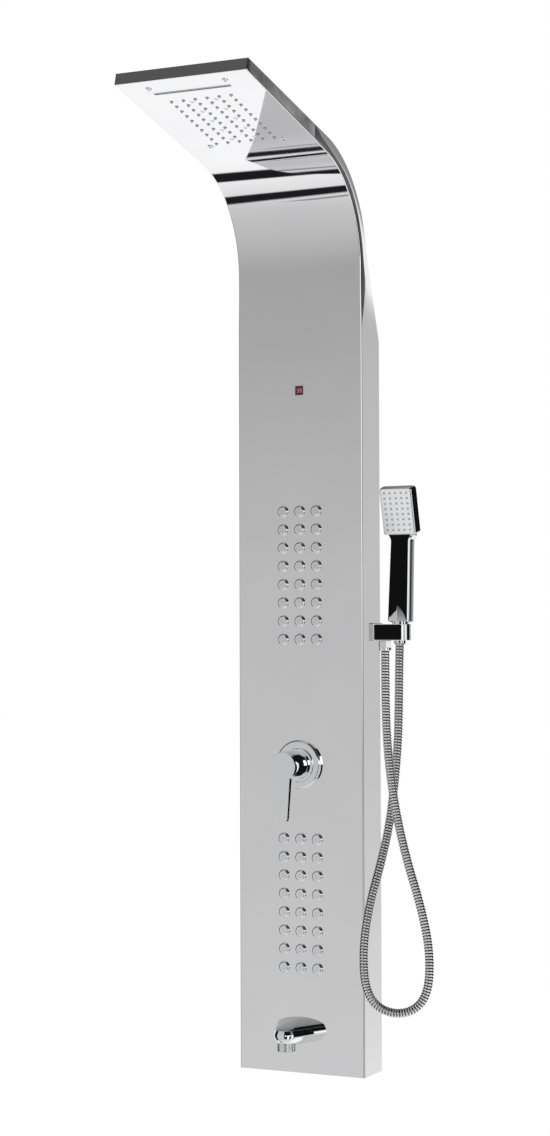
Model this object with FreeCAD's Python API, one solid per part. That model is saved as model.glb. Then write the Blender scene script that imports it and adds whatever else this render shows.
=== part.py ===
"""Shower panel column: a bent stainless column with an overhead rain head, body jets,
a single-lever mixer, a bath spout and a hand shower on a metal hose.

Millimetres.  X runs across the panel (the hand shower is on +X), +Y runs into the wall and
Z runs up.  Heights are written above the panel's bottom edge, and the whole model is then
dropped by ORIGIN_HEIGHT, so that the origin is the middle of the four wall screws, on the
wall.  "Out" is the distance in front of the panel's front face.
"""
import FreeCAD
import Part

import math
import os

Vector = FreeCAD.Vector

# ---------------------------------------------------------------- panel sheet
PANEL_WIDTH = 200.0
PANEL_DEPTH = 63.4          # front face to the wall
SHEET = 1.5                 # stainless sheet
FOLD_RADIUS = 2.0           # outside radius of the long folds
RETURN_LIP = 12.0           # sheet turned in along the wall and the bottom
NECK_START = 1169.6         # height where the front begins to curve forward
NECK_RADIUS = 153.0
NECK_THICKNESS = 21.0
HEAD_SLOPE = 13.85          # degrees that the head rises to its lip
HEAD_REACH = 430.7          # wall to the lower edge of the lip
LIP_HEIGHT = 17.0
GUSSET_FOOT = 1069.0        # height where the slanted back edge meets the wall
GUSSET_TOP_ANGLE = 8.0      # degrees up the neck where the slanted back edge ends
COVER_SHEET = 1.0           # sheet that closes the back of the neck and the top of the head
FIT = 0.2                   # clearance of parts that drop into each other
TURN_GAP = 0.4              # clearance round parts that turn
BEHIND_SHEET = 3.0          # shank left beyond its nut

# ---------------------------------------------------------------- rain head
NOZZLE_COLUMNS = 6
NOZZLE_ROWS = 10
NOZZLE_PITCH_X = 18.2
NOZZLE_PITCH_Y = 15.1
NOZZLE_FIRST_ROW = 63.3     # lip to the first row of nozzles
NOZZLE_RADIUS = 2.3
NOZZLE_LENGTH = 2.6         # below the sheet
NOZZLE_SIDES = 6
LED_PER_COLUMN = 5
LED_RADIUS = 2.9
LED_PROUD = 0.6
LED_SIDES = 8
SLOT_WIDTH = 117.0
SLOT_OPENING = 5.0
SLOT_FROM_LIP = 37.0
SLOT_LIP = 1.2              # the waterfall nozzle's proud rim
HEAD_SCREW_X = 58.0
HEAD_SCREW_FRONT = 19.7     # lip to the front pair of screws
HEAD_SCREW_BACK = 205.0
HEAD_SCREW_RADIUS = 2.0
HEAD_SCREW_HEAD = 4.2
HEAD_SCREW_PROUD = 2.4
SCREW_SIDES = 8
CHAMBER_MARGIN = 8.0        # chamber beyond the screws
CHAMBER_HEIGHT = 8.0
BOARD_HEIGHT = 2.0
BOARD_MARGIN = 6.0

# ---------------------------------------------------------------- display
DISPLAY_HEIGHT = 996.0
DISPLAY_SIZE = 15.0
DISPLAY_BEZEL = 1.0
DISPLAY_PROUD = 0.8
DISPLAY_CASE_WIDTH = 46.0
DISPLAY_CASE_HEIGHT = 34.0
DISPLAY_CASE_DEPTH = 16.0

# ---------------------------------------------------------------- body jets
JET_COLUMNS = 3
JET_ROWS = 8
JET_PITCH = 26.8
UPPER_JETS_TOP = 818.4
LOWER_JETS_TOP = 339.7
JET_RADIUS = 8.8
JET_DOME = 4.4
JET_FACE_RADIUS = 4.6
JET_SHANK_RADIUS = 5.6
JET_SIDES = 10
JET_SHANK_SIDES = 6
MANIFOLD_MARGIN = 12.0
MANIFOLD_DEPTH = 16.0

# ---------------------------------------------------------------- mixer
MIXER_HEIGHT = 448.4
ESCUTCHEON_RADIUS = 35.8
ESCUTCHEON_THICKNESS = 10.0
ESCUTCHEON_BEVEL = 4.0
RING_RADIUS = 24.8          # function selector ring
RING_BORE = 20.8
RING_FRONT = 12.0           # out
RING_EDGE = 1.0             # bevel of the ring's front edge
PIVOT_OUT = 14.0            # lever pivot in front of the panel
DOME_RADIUS = 19.3
DOME_WALL = 2.0
DOME_MOUTH = 12.0           # radius of the opening for the stem
DOME_CHORDS = 5
CARTRIDGE_RADIUS = 15.0
CARTRIDGE_LENGTH = 34.0
CARTRIDGE_NUT_LIP = 3.0
CARTRIDGE_NUT_TOP = 1.5
CARRIER_RADIUS = 9.0
STEM_WIDTH = 8.0
STEM_PIN_RADIUS = 1.5
STEM_END = 46.0             # out
HANDLE_SCREW_RADIUS = 2.5
HANDLE_SCREW_INSET = 2.0    # screw below the handle's skin
HANDLE_RADIUS = 22.6
HANDLE_WALL = 2.4
HANDLE_BACK = 22.0          # out
HANDLE_FLOOR = 38.0         # out, bottom of the hollow in the handle
HANDLE_FRONT = 62.0         # out
LEVER_REACH = 82.0          # handle axis to the lever's tip
LEVER_ROOT_WIDTH = 24.0
LEVER_TIP_WIDTH = 17.0
LEVER_THICKNESS = 6.0
LEVER_TIP_THICKNESS = 3.6
VALVE_WIDTH = 150.0
VALVE_HEIGHT = 54.0
VALVE_GASKET = 1.5          # between the sheet and the valve
VALVE_GASKET_WIDTH = 96.0
VALVE_DEPTH = 44.0
INLET_SPACING = 100.0
INLET_RADIUS = 10.5         # G1/2
INLET_LENGTH = 24.0
UNION_RADIUS = 13.5
UNION_LENGTH = 12.0

# ---------------------------------------------------------------- bath spout
SPOUT_HEIGHT = 66.5         # middle of the spout's rim band
SPOUT_HALF_WIDTH = 41.0
SPOUT_OUTLET_OUT = 52.0     # outlet axis
SPOUT_NOSE_RADIUS = 18.2
SPOUT_NOSE_CHORDS = 12
SPOUT_BAND = 8.4
SPOUT_CROWN = 11.0          # rise of the top face at the panel
SPOUT_CROWN_HALF_WIDTH = 18.0
SPOUT_BELLY = 13.0          # drop of the underside below the band
SPOUT_BELLY_INSET = 4.0     # nose of the underside and of the crown
SPOUT_FOOT_INSET = 12.0     # side of the underside at the panel
AERATOR_RADIUS = 13.6
AERATOR_DROP = 9.5
AERATOR_BORE = 11.0
AERATOR_WALL = 2.0
AERATOR_DEPTH = 5.5         # of its thread inside the spout
SPOUT_GASKET = 1.0
SHANK_RADIUS = 10.0         # threaded shank of the spout and of the hose outlet
SHANK_NUT_RADIUS = 15.0
SHANK_NUT_LENGTH = 7.0

# ---------------------------------------------------------------- hand shower holder
HOLDER_HEIGHT = 641.0
HOLDER_BLOCK_HEIGHT = 24.0
HOLDER_Y = -24.0            # hand shower axis, in front of the wall
HOLDER_OUT = 42.0           # hand shower axis, beside the panel
HOLDER_END_RADIUS = 15.6
HOLDER_FLANGE_THICKNESS = 7.0
HOLDER_FLANGE_OVERHANG = 1.5
SOCKET_TOP_RADIUS = 12.0
SOCKET_BOTTOM_RADIUS = 9.6
SOCKET_CLEARANCE = 0.4
INLAY_THICKNESS = 0.8
INLAY_BORDER = 1.0
OUTLET_OUT = 18.5           # hose outlet below the holder, beside the panel
OUTLET_NIPPLE_RADIUS = 8.0
OUTLET_NIPPLE_DEPTH = 12.0  # inside the holder
OUTLET_NUT_RADIUS = 10.0
OUTLET_COLLAR_RADIUS = 8.8
OUTLET_NUT_LENGTH = 15.0
OUTLET_HEX_LENGTH = 10.5

# ---------------------------------------------------------------- hand shower
HANDSET_LEAN = 4.5          # degrees that the handle leans back to the wall
HANDLE_LENGTH = 122.0
HANDLE_TOP_WIDTH = 25.0
HANDLE_BOTTOM_WIDTH = 28.0
HANDLE_THICKNESS = 23.0
HANDLE_CORNER = 3.5
HANDLE_START = 15.0         # socket centre to the handle's lower end
SPRAY_WIDTH = 50.0
SPRAY_HEIGHT = 66.0
SPRAY_DEPTH = 17.0
SPRAY_TILT = 19.0           # degrees between the handle and the spray head
SPRAY_RISE = 5.0            # handle end to the spray head
SPRAY_CORNER = 6.0
SPRAY_PLATE = 1.6
SPRAY_RIM = 2.2
CONE_END = 17.0             # socket centre to the lower end of the hose cone
GRIP_ARCH_HEIGHT = 20.0
GRIP_ARCH_BULGE = 2.2       # of each side of the pointed arch

# ---------------------------------------------------------------- hoses and pipes
HOSE_DIAMETER = 13.0
HOSE_GROOVE = 1.3           # depth between two ribs
HOSE_BORE = 7.5
HOSE_RIBS = 52
HOSE_RIB_FLANK = 0.2        # share of the pitch
HOSE_RIB_VALLEY = 0.2
HOSE_BORE_STEPS = 64
RISER_DIAMETER = 10.0
RISER_X = 60.0
PIPE_DIAMETER = 12.0
PIPE_BEND = 18.0
PIPE_SIDES = 12
PIPE_Y = -33.0              # spout pipe
BRANCH_X = 66.0             # hand shower pipe
ELBOW_DIAMETER = 18.0
ELBOW_BEND = 12.0
ELBOW_RISE = 22.0

# ---------------------------------------------------------------- wall fixing
SCREW_SPACING_X = 120.0
SCREW_SPACING_Z = 700.0
ORIGIN_HEIGHT = 600.0
BRACKET_WIDTH = 150.0
BRACKET_HEIGHT = 36.0
BRACKET_THICKNESS = 2.5
HOOK_DEPTH = 7.0
HOOK_HEIGHT = 11.0
HANGER_HEIGHT = 30.0
WALL_SCREW_HOLE = 2.75      # radius

# Free points of the hand shower's hose, between its straight ends.
HOSE_ROUTE = [
    (121.0, -28.5, 520.0),
    (129.5, -39.5, 455.0),
    (144.0, -49.0, 385.0),
    (163.5, -54.5, 315.0),
    (184.0, -53.5, 252.0),
    (197.5, -50.5, 186.0),
    (194.5, -50.5, 123.5),
    (169.5, -56.0, 96.5),
    (133.0, -66.5, 96.5),
    (108.0, -76.0, 123.5),
    (106.0, -81.5, 185.0),
    (112.5, -74.0, 247.0),
    (124.0, -58.0, 305.0),
    (130.5, -39.0, 362.0),
    (134.0, -28.0, 422.0),
    (138.5, -25.0, 482.0),
    (141.0, -27.0, 545.0),
]
HOSE_END_RUN = 36.0

HALF_WIDTH = PANEL_WIDTH / 2
FRONT_Y = -PANEL_DEPTH
INSIDE_Y = FRONT_Y + SHEET
NECK_Y = FRONT_Y - NECK_RADIUS
SLOPE = math.radians(HEAD_SLOPE)
HOLDER_X = HALF_WIDTH + HOLDER_OUT
OUTLET_X = HALF_WIDTH + OUTLET_OUT
SHANK_LENGTH = SHANK_NUT_LENGTH + BEHIND_SHEET
PARTS = {}


# ---------------------------------------------------------------- small helpers
def box(x0, x1, y0, y1, z0, z1):
    """Box between two corners."""
    return Part.makeBox(x1 - x0, y1 - y0, z1 - z0, Vector(x0, y0, z0))


def turned(profile, origin, axis):
    """Solid turned from a closed profile of (radius, distance along the axis) points."""
    points = [Vector(radius, 0, along) for radius, along in profile]
    face = Part.Face(Part.makePolygon(points + points[:1]))
    solid = face.revolve(Vector(0, 0, 0), Vector(0, 0, 1), 360)
    solid.Placement = FreeCAD.Placement(Vector(*origin), FreeCAD.Rotation(Vector(0, 0, 1), Vector(*axis)))
    return solid


def rod(radius, start, end, origin, axis):
    """Round bar from start to end along an axis."""
    profile = [(0, start), (radius, start), (radius, end), (0, end)]
    return turned(profile, origin, axis)


def faceted(sides, stations, origin, axis):
    """Flat-sided solid through regular polygons of (corner radius, distance along the axis)."""
    rings = []
    for radius, along in stations:
        ring = []
        for index in range(sides + 1):
            angle = 2 * math.pi * (index % sides) / sides
            ring.append(Vector(radius * math.cos(angle), radius * math.sin(angle), along))
        rings.append(ring)
    faces = [Part.Face(Part.makePolygon(rings[0])), Part.Face(Part.makePolygon(rings[-1]))]
    for low, high in zip(rings, rings[1:]):
        for index in range(sides):
            corners = [low[index], low[index + 1], high[index + 1], high[index], low[index]]
            faces.append(Part.Face(Part.makePolygon(corners)))
    solid = Part.Solid(Part.makeShell(faces))
    solid.Placement = FreeCAD.Placement(Vector(*origin), FreeCAD.Rotation(Vector(0, 0, 1), Vector(*axis)))
    return solid


def prism(sides, radius, start, end, origin, axis):
    """Flat-sided bar from start to end along an axis."""
    return faceted(sides, [(radius, start), (radius, end)], origin, axis)


def rounded_rectangle(width, depth, corner, height):
    """Wire of a rectangle with round corners, centred on the Z axis at a height."""
    x, y = width / 2, depth / 2
    diagonal = corner * (1 - math.sqrt(0.5))
    edges = []
    for turn in range(4):
        spin = FreeCAD.Rotation(Vector(0, 0, 1), 90 * turn)
        half_a, half_b = (x, y) if turn % 2 == 0 else (y, x)
        side = Part.LineSegment(Vector(half_a, corner - half_b, 0), Vector(half_a, half_b - corner, 0))
        bend = Part.Arc(
            Vector(half_a, half_b - corner, 0),
            Vector(half_a - diagonal, half_b - diagonal, 0),
            Vector(half_a - corner, half_b, 0),
        )
        for curve in (side, bend):
            edge = curve.toShape()
            edge.Placement = FreeCAD.Placement(Vector(0, 0, height), spin)
            edges.append(edge)
    return Part.Wire(Part.__sortEdges__(edges))


def tube_path(points, radii):
    """Wire of straight runs joined by tangent arcs of the given radii."""
    edges = []
    start = points[0]
    for index in range(1, len(points) - 1):
        corner = points[index]
        before = (corner - points[index - 1]).normalize()
        after = (points[index + 1] - corner).normalize()
        half_turn = before.getAngle(after) / 2
        reach = radii[index - 1] * math.tan(half_turn)
        arc_start = corner - before * reach
        arc_end = corner + after * reach
        inward = (after - before).normalize()
        sagitta = radii[index - 1] * (1 / math.cos(half_turn) - 1)
        edges.append(Part.LineSegment(start, arc_start).toShape())
        edges.append(Part.Arc(arc_start, corner + inward * sagitta, arc_end).toShape())
        start = arc_end
    edges.append(Part.LineSegment(start, points[-1]).toShape())
    return Part.Wire(edges)


def pipe(points, diameter, bend):
    """Flat-sided pipe along straight runs with bends of one radius."""
    route = [Vector(*point) for point in points]
    path = tube_path(route, [bend] * (len(route) - 2))
    first = (route[1] - route[0]).normalize()
    turn = FreeCAD.Rotation(Vector(0, 0, 1), first)
    corners = []
    for index in range(PIPE_SIDES + 1):
        angle = 2 * math.pi * (index % PIPE_SIDES) / PIPE_SIDES
        reach = Vector(math.cos(angle), math.sin(angle), 0) * (diameter / 2)
        corners.append(route[0] + turn.multVec(reach))
    return path.makePipeShell([Part.makePolygon(corners)], True, False)


def add(name, shape):
    """Keep a finished piece under its name, in the frame of the wall screws."""
    shape = shape.copy()
    shape.translate(Vector(0, 0, -ORIGIN_HEIGHT))
    PARTS[name] = shape


# ---------------------------------------------------------------- side outline of the column
def neck_point(radius, degrees):
    """Point of an arc round the neck's centre, in the side view."""
    angle = math.radians(degrees)
    return Vector(0, NECK_Y + radius * math.cos(angle), NECK_START + radius * math.sin(angle))


HEAD_START = neck_point(NECK_RADIUS, 90 - HEAD_SLOPE)
LIP_FOOT = Vector(0, -HEAD_REACH, HEAD_START.z + (HEAD_REACH + HEAD_START.y) * math.tan(SLOPE))
HEAD_FRAME = FreeCAD.Placement(LIP_FOOT, FreeCAD.Rotation(Vector(1, 0, 0), -HEAD_SLOPE))


def head_point(from_lip, above):
    """Point at a distance behind the lip and above the head's underside, in the side view."""
    return HEAD_FRAME.multVec(Vector(0, from_lip, above))


def on_head(shape):
    """Carry a shape from the head's own frame (across, behind the lip, above) to the panel's."""
    shape = shape.copy()
    shape.Placement = HEAD_FRAME.multiply(shape.Placement)
    return shape


def back_edge(inset):
    """Points of the column's back edge, moved in by an inset: lip, head end, neck foot, wall."""
    outer_radius = NECK_RADIUS + NECK_THICKNESS
    lip = head_point(0, LIP_HEIGHT)
    across = lip - Vector(0, NECK_Y, NECK_START)
    touch = math.degrees(math.atan2(across.z, across.y) - math.acos(outer_radius / across.Length))
    lean = neck_point(outer_radius, GUSSET_TOP_ANGLE) - Vector(0, 0, GUSSET_FOOT)
    lean.normalize()
    inward = Vector(0, -lean.z, lean.y)
    outward = neck_point(1, touch) - Vector(0, NECK_Y, NECK_START)
    radius = outer_radius - inset
    return {
        "lip": lip - outward * inset,
        "head": neck_point(radius, touch),
        "neck": neck_point(radius, (touch + GUSSET_TOP_ANGLE) / 2),
        "gusset": neck_point(radius, GUSSET_TOP_ANGLE),
        "wall": Vector(0, 0, GUSSET_FOOT) + inward * inset,
    }


def front_edges(inset, bottom):
    """Edges of the front outline, moved in by an inset, from the bottom up to the lip."""
    foot = Vector(0, FRONT_Y + inset, bottom)
    bend_start = Vector(0, FRONT_Y + inset, NECK_START)
    middle = neck_point(NECK_RADIUS + inset, (90 - HEAD_SLOPE) / 2)
    bend_end = neck_point(NECK_RADIUS + inset, 90 - HEAD_SLOPE)
    lip = head_point(inset, inset)
    return [
        Part.LineSegment(foot, bend_start).toShape(),
        Part.Arc(bend_start, middle, bend_end).toShape(),
        Part.LineSegment(bend_end, lip).toShape(),
    ]


def closed_slab(edges, corners, half_width):
    """Slab across the panel whose outline is some edges and then straight lines through corners."""
    start = edges[-1].Vertexes[-1].Point
    outline = list(edges)
    for corner in corners:
        outline.append(Part.LineSegment(start, corner).toShape())
        start = corner
    outline.append(Part.LineSegment(start, edges[0].Vertexes[0].Point).toShape())
    face = Part.Face(Part.Wire(Part.__sortEdges__(outline)))
    slab = face.extrude(Vector(2 * half_width, 0, 0))
    slab.translate(Vector(-half_width, 0, 0))
    return slab


def is_on_front(point):
    """Tell whether a point is on the front outline, seen from the side."""
    corner = Part.Vertex(0, point.y, point.z)
    return any(edge.distToShape(corner)[0] < 0.01 for edge in front_edges(0, 0))


def outer_block():
    """The column's outside as one block, with its long front folds rounded."""
    back = back_edge(0)
    arc = Part.Arc(back["head"], back["neck"], back["gusset"]).toShape()
    edges = front_edges(0, 0)
    edges.append(Part.LineSegment(head_point(0, 0), back["lip"]).toShape())
    edges.append(Part.LineSegment(back["lip"], back["head"]).toShape())
    edges.append(arc)
    edges.append(Part.LineSegment(back["gusset"], back["wall"]).toShape())
    block = closed_slab(edges, [Vector(0, 0, 0)], HALF_WIDTH)
    folds = []
    for edge in block.Edges:
        ends = [vertex.Point for vertex in edge.Vertexes]
        on_side = all(abs(abs(end.x) - HALF_WIDTH) < 0.01 for end in ends)
        on_front = all(is_on_front(end) for end in ends)
        if on_side and on_front and edge.Length > 2 * LIP_HEIGHT:
            folds.append(edge)
    return block.makeFillet(FOLD_RADIUS, folds)


# ---------------------------------------------------------------- feature places
def nozzle_places():
    """Places (across, behind the lip) of the rain nozzles."""
    places = []
    for column in range(NOZZLE_COLUMNS):
        for row in range(NOZZLE_ROWS):
            x = (column - (NOZZLE_COLUMNS - 1) / 2) * NOZZLE_PITCH_X
            places.append((x, NOZZLE_FIRST_ROW + row * NOZZLE_PITCH_Y))
    return places


def led_places():
    """Places of the lamps: in the middle of every second square of nozzles, in two columns."""
    places = []
    for side in (-1, 1):
        for index in range(LED_PER_COLUMN):
            from_lip = NOZZLE_FIRST_ROW + (2 * index + 0.5) * NOZZLE_PITCH_Y
            places.append((side * NOZZLE_PITCH_X, from_lip))
    return places


def head_screw_places():
    """Places of the four screws that hold the rain chamber to the head."""
    places = []
    for x in (-HEAD_SCREW_X, HEAD_SCREW_X):
        for from_lip in (HEAD_SCREW_FRONT, HEAD_SCREW_BACK):
            places.append((x, from_lip))
    return places


def jet_places(top):
    """Places (across, height) of one group of body jets."""
    places = []
    for column in range(JET_COLUMNS):
        for row in range(JET_ROWS):
            x = (column - (JET_COLUMNS - 1) / 2) * JET_PITCH
            places.append((x, top - row * JET_PITCH))
    return places


# ---------------------------------------------------------------- panel
def front_panel():
    """One bent sheet: front, neck, head underside, lip, side walls and return lips."""
    inside = closed_slab(
        front_edges(SHEET, -1),
        [
            head_point(SHEET, 4 * LIP_HEIGHT),
            Vector(0, PANEL_DEPTH, head_point(SHEET, 4 * LIP_HEIGHT).z),
            Vector(0, PANEL_DEPTH, -1),
        ],
        HALF_WIDTH - SHEET,
    )
    panel = outer_block().cut(inside)
    lips = [box(-HALF_WIDTH + SHEET, HALF_WIDTH - SHEET, INSIDE_Y, INSIDE_Y + RETURN_LIP, 0, SHEET)]
    for side in (-1, 1):
        inner = side * (HALF_WIDTH - SHEET)
        lip_end = side * (HALF_WIDTH - SHEET - RETURN_LIP)
        lips.append(box(min(inner, lip_end), max(inner, lip_end), -SHEET, 0, 0, GUSSET_FOOT - PANEL_DEPTH))
    panel = panel.fuse(lips).removeSplitter()

    forward = (0, -1, 0)
    cutters = []
    for top in (UPPER_JETS_TOP, LOWER_JETS_TOP):
        for x, z in jet_places(top):
            place = (x, FRONT_Y, z)
            cutters.append(prism(JET_SHANK_SIDES, JET_SHANK_RADIUS + FIT, -3 * SHEET, SHEET, place, forward))
    cutters.append(rod(RING_RADIUS + 1, -3 * SHEET, SHEET, (0, FRONT_Y, MIXER_HEIGHT), forward))
    cutters.append(rod(SHANK_RADIUS + FIT, -3 * SHEET, SHEET, (0, FRONT_Y, SPOUT_HEIGHT), forward))
    half_display = DISPLAY_SIZE / 2 - DISPLAY_BEZEL
    cutters.append(
        box(-half_display, half_display, FRONT_Y - SHEET, INSIDE_Y + SHEET,
            DISPLAY_HEIGHT - half_display, DISPLAY_HEIGHT + half_display)
    )
    cutters.append(
        rod(SHANK_RADIUS + FIT, -3 * SHEET, SHEET, (HALF_WIDTH, HOLDER_Y, HOLDER_HEIGHT), (1, 0, 0))
    )
    up = (0, 0, 1)
    for x, from_lip in nozzle_places():
        place = (x, from_lip, 0)
        cutters.append(on_head(prism(NOZZLE_SIDES, NOZZLE_RADIUS + FIT, -SHEET, 2 * SHEET, place, up)))
    for x, from_lip in led_places():
        place = (x, from_lip, 0)
        cutters.append(on_head(prism(LED_SIDES, LED_RADIUS + FIT, -SHEET, 2 * SHEET, place, up)))
    for x, from_lip in head_screw_places():
        place = (x, from_lip, 0)
        cutters.append(on_head(prism(SCREW_SIDES, HEAD_SCREW_RADIUS + FIT, -SHEET, 2 * SHEET, place, up)))
    slot_x = SLOT_WIDTH / 2 + FIT
    slot_y = SLOT_OPENING / 2 + FIT
    cutters.append(
        on_head(box(-slot_x, slot_x, SLOT_FROM_LIP - slot_y, SLOT_FROM_LIP + slot_y, -SHEET, 2 * SHEET))
    )
    add("front_panel", panel.cut(cutters))


def back_cover():
    """Sheet that closes the head's top and the neck's back, down to the wall."""
    outer = back_edge(0)
    inner = back_edge(COVER_SHEET)
    outside = Part.Arc(outer["head"], outer["neck"], outer["gusset"]).toShape()
    inside = Part.Arc(inner["gusset"], inner["neck"], inner["head"]).toShape()
    lip_shift = head_point(SHEET + FIT, 0) - head_point(0, 0)
    corners = [outer["gusset"], outer["wall"], inner["wall"], inner["gusset"]]
    edges = [
        Part.LineSegment(inner["lip"] + lip_shift, outer["lip"] + lip_shift).toShape(),
        Part.LineSegment(outer["lip"] + lip_shift, outer["head"]).toShape(),
        outside,
    ]
    for start, end in zip(corners, corners[1:]):
        edges.append(Part.LineSegment(start, end).toShape())
    edges.append(inside)
    edges.append(Part.LineSegment(inner["head"], inner["lip"] + lip_shift).toShape())
    face = Part.Face(Part.Wire(Part.__sortEdges__(edges)))
    half = HALF_WIDTH - SHEET - FIT
    cover = face.extrude(Vector(2 * half, 0, 0))
    cover.translate(Vector(-half, 0, 0))
    add("back_cover", cover)


# ---------------------------------------------------------------- rain head
def rain_head():
    """Water chamber, nozzles, waterfall nozzle, lamps and screws of the head."""
    up = (0, 0, 1)
    down = (0, 0, -1)
    half_x = HEAD_SCREW_X + CHAMBER_MARGIN
    front = HEAD_SCREW_FRONT - CHAMBER_MARGIN
    back = HEAD_SCREW_BACK + CHAMBER_MARGIN
    top = SHEET + CHAMBER_HEIGHT
    chamber = box(-half_x, half_x, front, back, SHEET, top)
    drills = []
    for x, from_lip in head_screw_places():
        depth = SHEET + CHAMBER_HEIGHT / 2
        drills.append(prism(SCREW_SIDES, HEAD_SCREW_RADIUS, 0, depth, (x, from_lip, 0), up))
    for x, from_lip in led_places():
        drills.append(prism(LED_SIDES, LED_RADIUS + FIT, 0, 2 * top, (x, from_lip, 0), up))
    slot_x = SLOT_WIDTH / 2 + FIT
    slot_y = SLOT_OPENING / 2 + FIT
    drills.append(box(-slot_x, slot_x, SLOT_FROM_LIP - slot_y, SLOT_FROM_LIP + slot_y, 0, top - SHEET))
    chamber = chamber.cut(drills)
    ports = []
    for x in (-RISER_X, RISER_X):
        place = (x, back, RISER_DIAMETER)
        ports.append(prism(PIPE_SIDES, RISER_DIAMETER / 2, 0, CHAMBER_MARGIN, place, (0, 1, 0)))
    chamber = chamber.fuse(ports)
    add("rain_chamber", on_head(chamber))

    nozzles = []
    for x, from_lip in nozzle_places():
        stations = [
            (NOZZLE_RADIUS, -SHEET),
            (NOZZLE_RADIUS, NOZZLE_LENGTH / 2),
            (NOZZLE_RADIUS / 2, NOZZLE_LENGTH),
        ]
        nozzles.append(on_head(faceted(NOZZLE_SIDES, stations, (x, from_lip, 0), down)))
    add("rain_nozzles", Part.makeCompound(nozzles))

    lenses = []
    for x, from_lip in led_places():
        lenses.append(on_head(prism(LED_SIDES, LED_RADIUS, -top, LED_PROUD, (x, from_lip, 0), down)))
    add("led_lenses", Part.makeCompound(lenses))

    led_front = NOZZLE_FIRST_ROW - BOARD_MARGIN
    led_back = NOZZLE_FIRST_ROW + (NOZZLE_ROWS - 1) * NOZZLE_PITCH_Y + BOARD_MARGIN
    led_half = NOZZLE_PITCH_X + BOARD_MARGIN
    add("led_board", on_head(box(-led_half, led_half, led_front, led_back, top, top + BOARD_HEIGHT)))

    blade_x = SLOT_WIDTH / 2
    blade_y = SLOT_OPENING / 2
    blade = box(-blade_x, blade_x, SLOT_FROM_LIP - blade_y, SLOT_FROM_LIP + blade_y,
                -SLOT_LIP, top - SHEET)
    mouth = box(-blade_x + SLOT_LIP, blade_x - SLOT_LIP, SLOT_FROM_LIP - blade_y + SLOT_LIP,
                SLOT_FROM_LIP + blade_y - SLOT_LIP, -SLOT_LIP, top - 2 * SHEET)
    add("waterfall_nozzle", on_head(blade.cut(mouth)))

    screws = []
    depth = SHEET + CHAMBER_HEIGHT / 2
    head = [
        (HEAD_SCREW_HEAD, 0),
        (HEAD_SCREW_HEAD, HEAD_SCREW_PROUD / 2),
        (HEAD_SCREW_HEAD / 2, HEAD_SCREW_PROUD),
    ]
    for x, from_lip in head_screw_places():
        place = (x, from_lip, 0)
        screw = faceted(SCREW_SIDES, head, place, down)
        screws.append(on_head(screw.fuse(prism(SCREW_SIDES, HEAD_SCREW_RADIUS, -depth, 0, place, down))))
    add("head_screws", Part.makeCompound(screws))


# ---------------------------------------------------------------- display
def display():
    """Small temperature display: bezel and window in front, its case behind the sheet."""
    half = DISPLAY_SIZE / 2
    window = half - DISPLAY_BEZEL
    z = DISPLAY_HEIGHT
    bezel = box(-half, half, FRONT_Y - DISPLAY_PROUD, FRONT_Y, z - half, z + half)
    opening = box(-window, window, FRONT_Y - SHEET, FRONT_Y + SHEET, z - window, z + window)
    add("display_bezel", bezel.cut(opening))
    pane = window - FIT
    add("display_window", box(-pane, pane, FRONT_Y - DISPLAY_PROUD / 2, INSIDE_Y, z - pane, z + pane))
    case_x = DISPLAY_CASE_WIDTH / 2
    case_z = DISPLAY_CASE_HEIGHT / 2
    case = box(-case_x, case_x, INSIDE_Y, INSIDE_Y + DISPLAY_CASE_DEPTH, z - case_z, z + case_z)
    corners = [edge for edge in case.Edges if abs(edge.Vertexes[0].Y - edge.Vertexes[-1].Y) > SHEET]
    add("display_case", case.makeFillet(2 * SHEET, corners))


# ---------------------------------------------------------------- body jets
def body_jets():
    """Forty-eight chrome jets and the two water manifolds that they screw into."""
    forward = (0, -1, 0)
    jets = []
    for top in (UPPER_JETS_TOP, LOWER_JETS_TOP):
        for x, z in jet_places(top):
            shank = prism(JET_SHANK_SIDES, JET_SHANK_RADIUS, -SHEET, 0, (x, FRONT_Y, z), forward)
            dome = faceted(
                JET_SIDES,
                [(JET_RADIUS, 0), (JET_RADIUS - 1, JET_DOME / 2), (JET_FACE_RADIUS, JET_DOME)],
                (x, FRONT_Y, z), forward,
            )
            jets.append(dome.fuse(shank))
    add("body_jets", Part.makeCompound(jets))

    half = (JET_COLUMNS - 1) / 2 * JET_PITCH + MANIFOLD_MARGIN
    for name, top in (("upper_jet_manifold", UPPER_JETS_TOP), ("lower_jet_manifold", LOWER_JETS_TOP)):
        low = top - (JET_ROWS - 1) * JET_PITCH - MANIFOLD_MARGIN
        block = box(-half, half, INSIDE_Y, INSIDE_Y + MANIFOLD_DEPTH, low, top + MANIFOLD_MARGIN)
        rear = INSIDE_Y + MANIFOLD_DEPTH
        long_edges = [
            edge for edge in block.Edges
            if edge.Length > PANEL_WIDTH / 2 and abs(edge.CenterOfMass.y - rear) < 0.01
        ]
        add(name, block.makeChamfer(MANIFOLD_DEPTH / 3, long_edges))


# ---------------------------------------------------------------- mixer
MIXER_ORIGIN = (0, FRONT_Y, MIXER_HEIGHT)
FORWARD = (0, -1, 0)
VALVE_OUT = -SHEET - VALVE_GASKET       # out, front face of the valve
VALVE_FRONT = FRONT_Y - VALVE_OUT
VALVE_TOP = MIXER_HEIGHT + VALVE_HEIGHT / 2
VALVE_BOTTOM = MIXER_HEIGHT - VALVE_HEIGHT / 2


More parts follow.
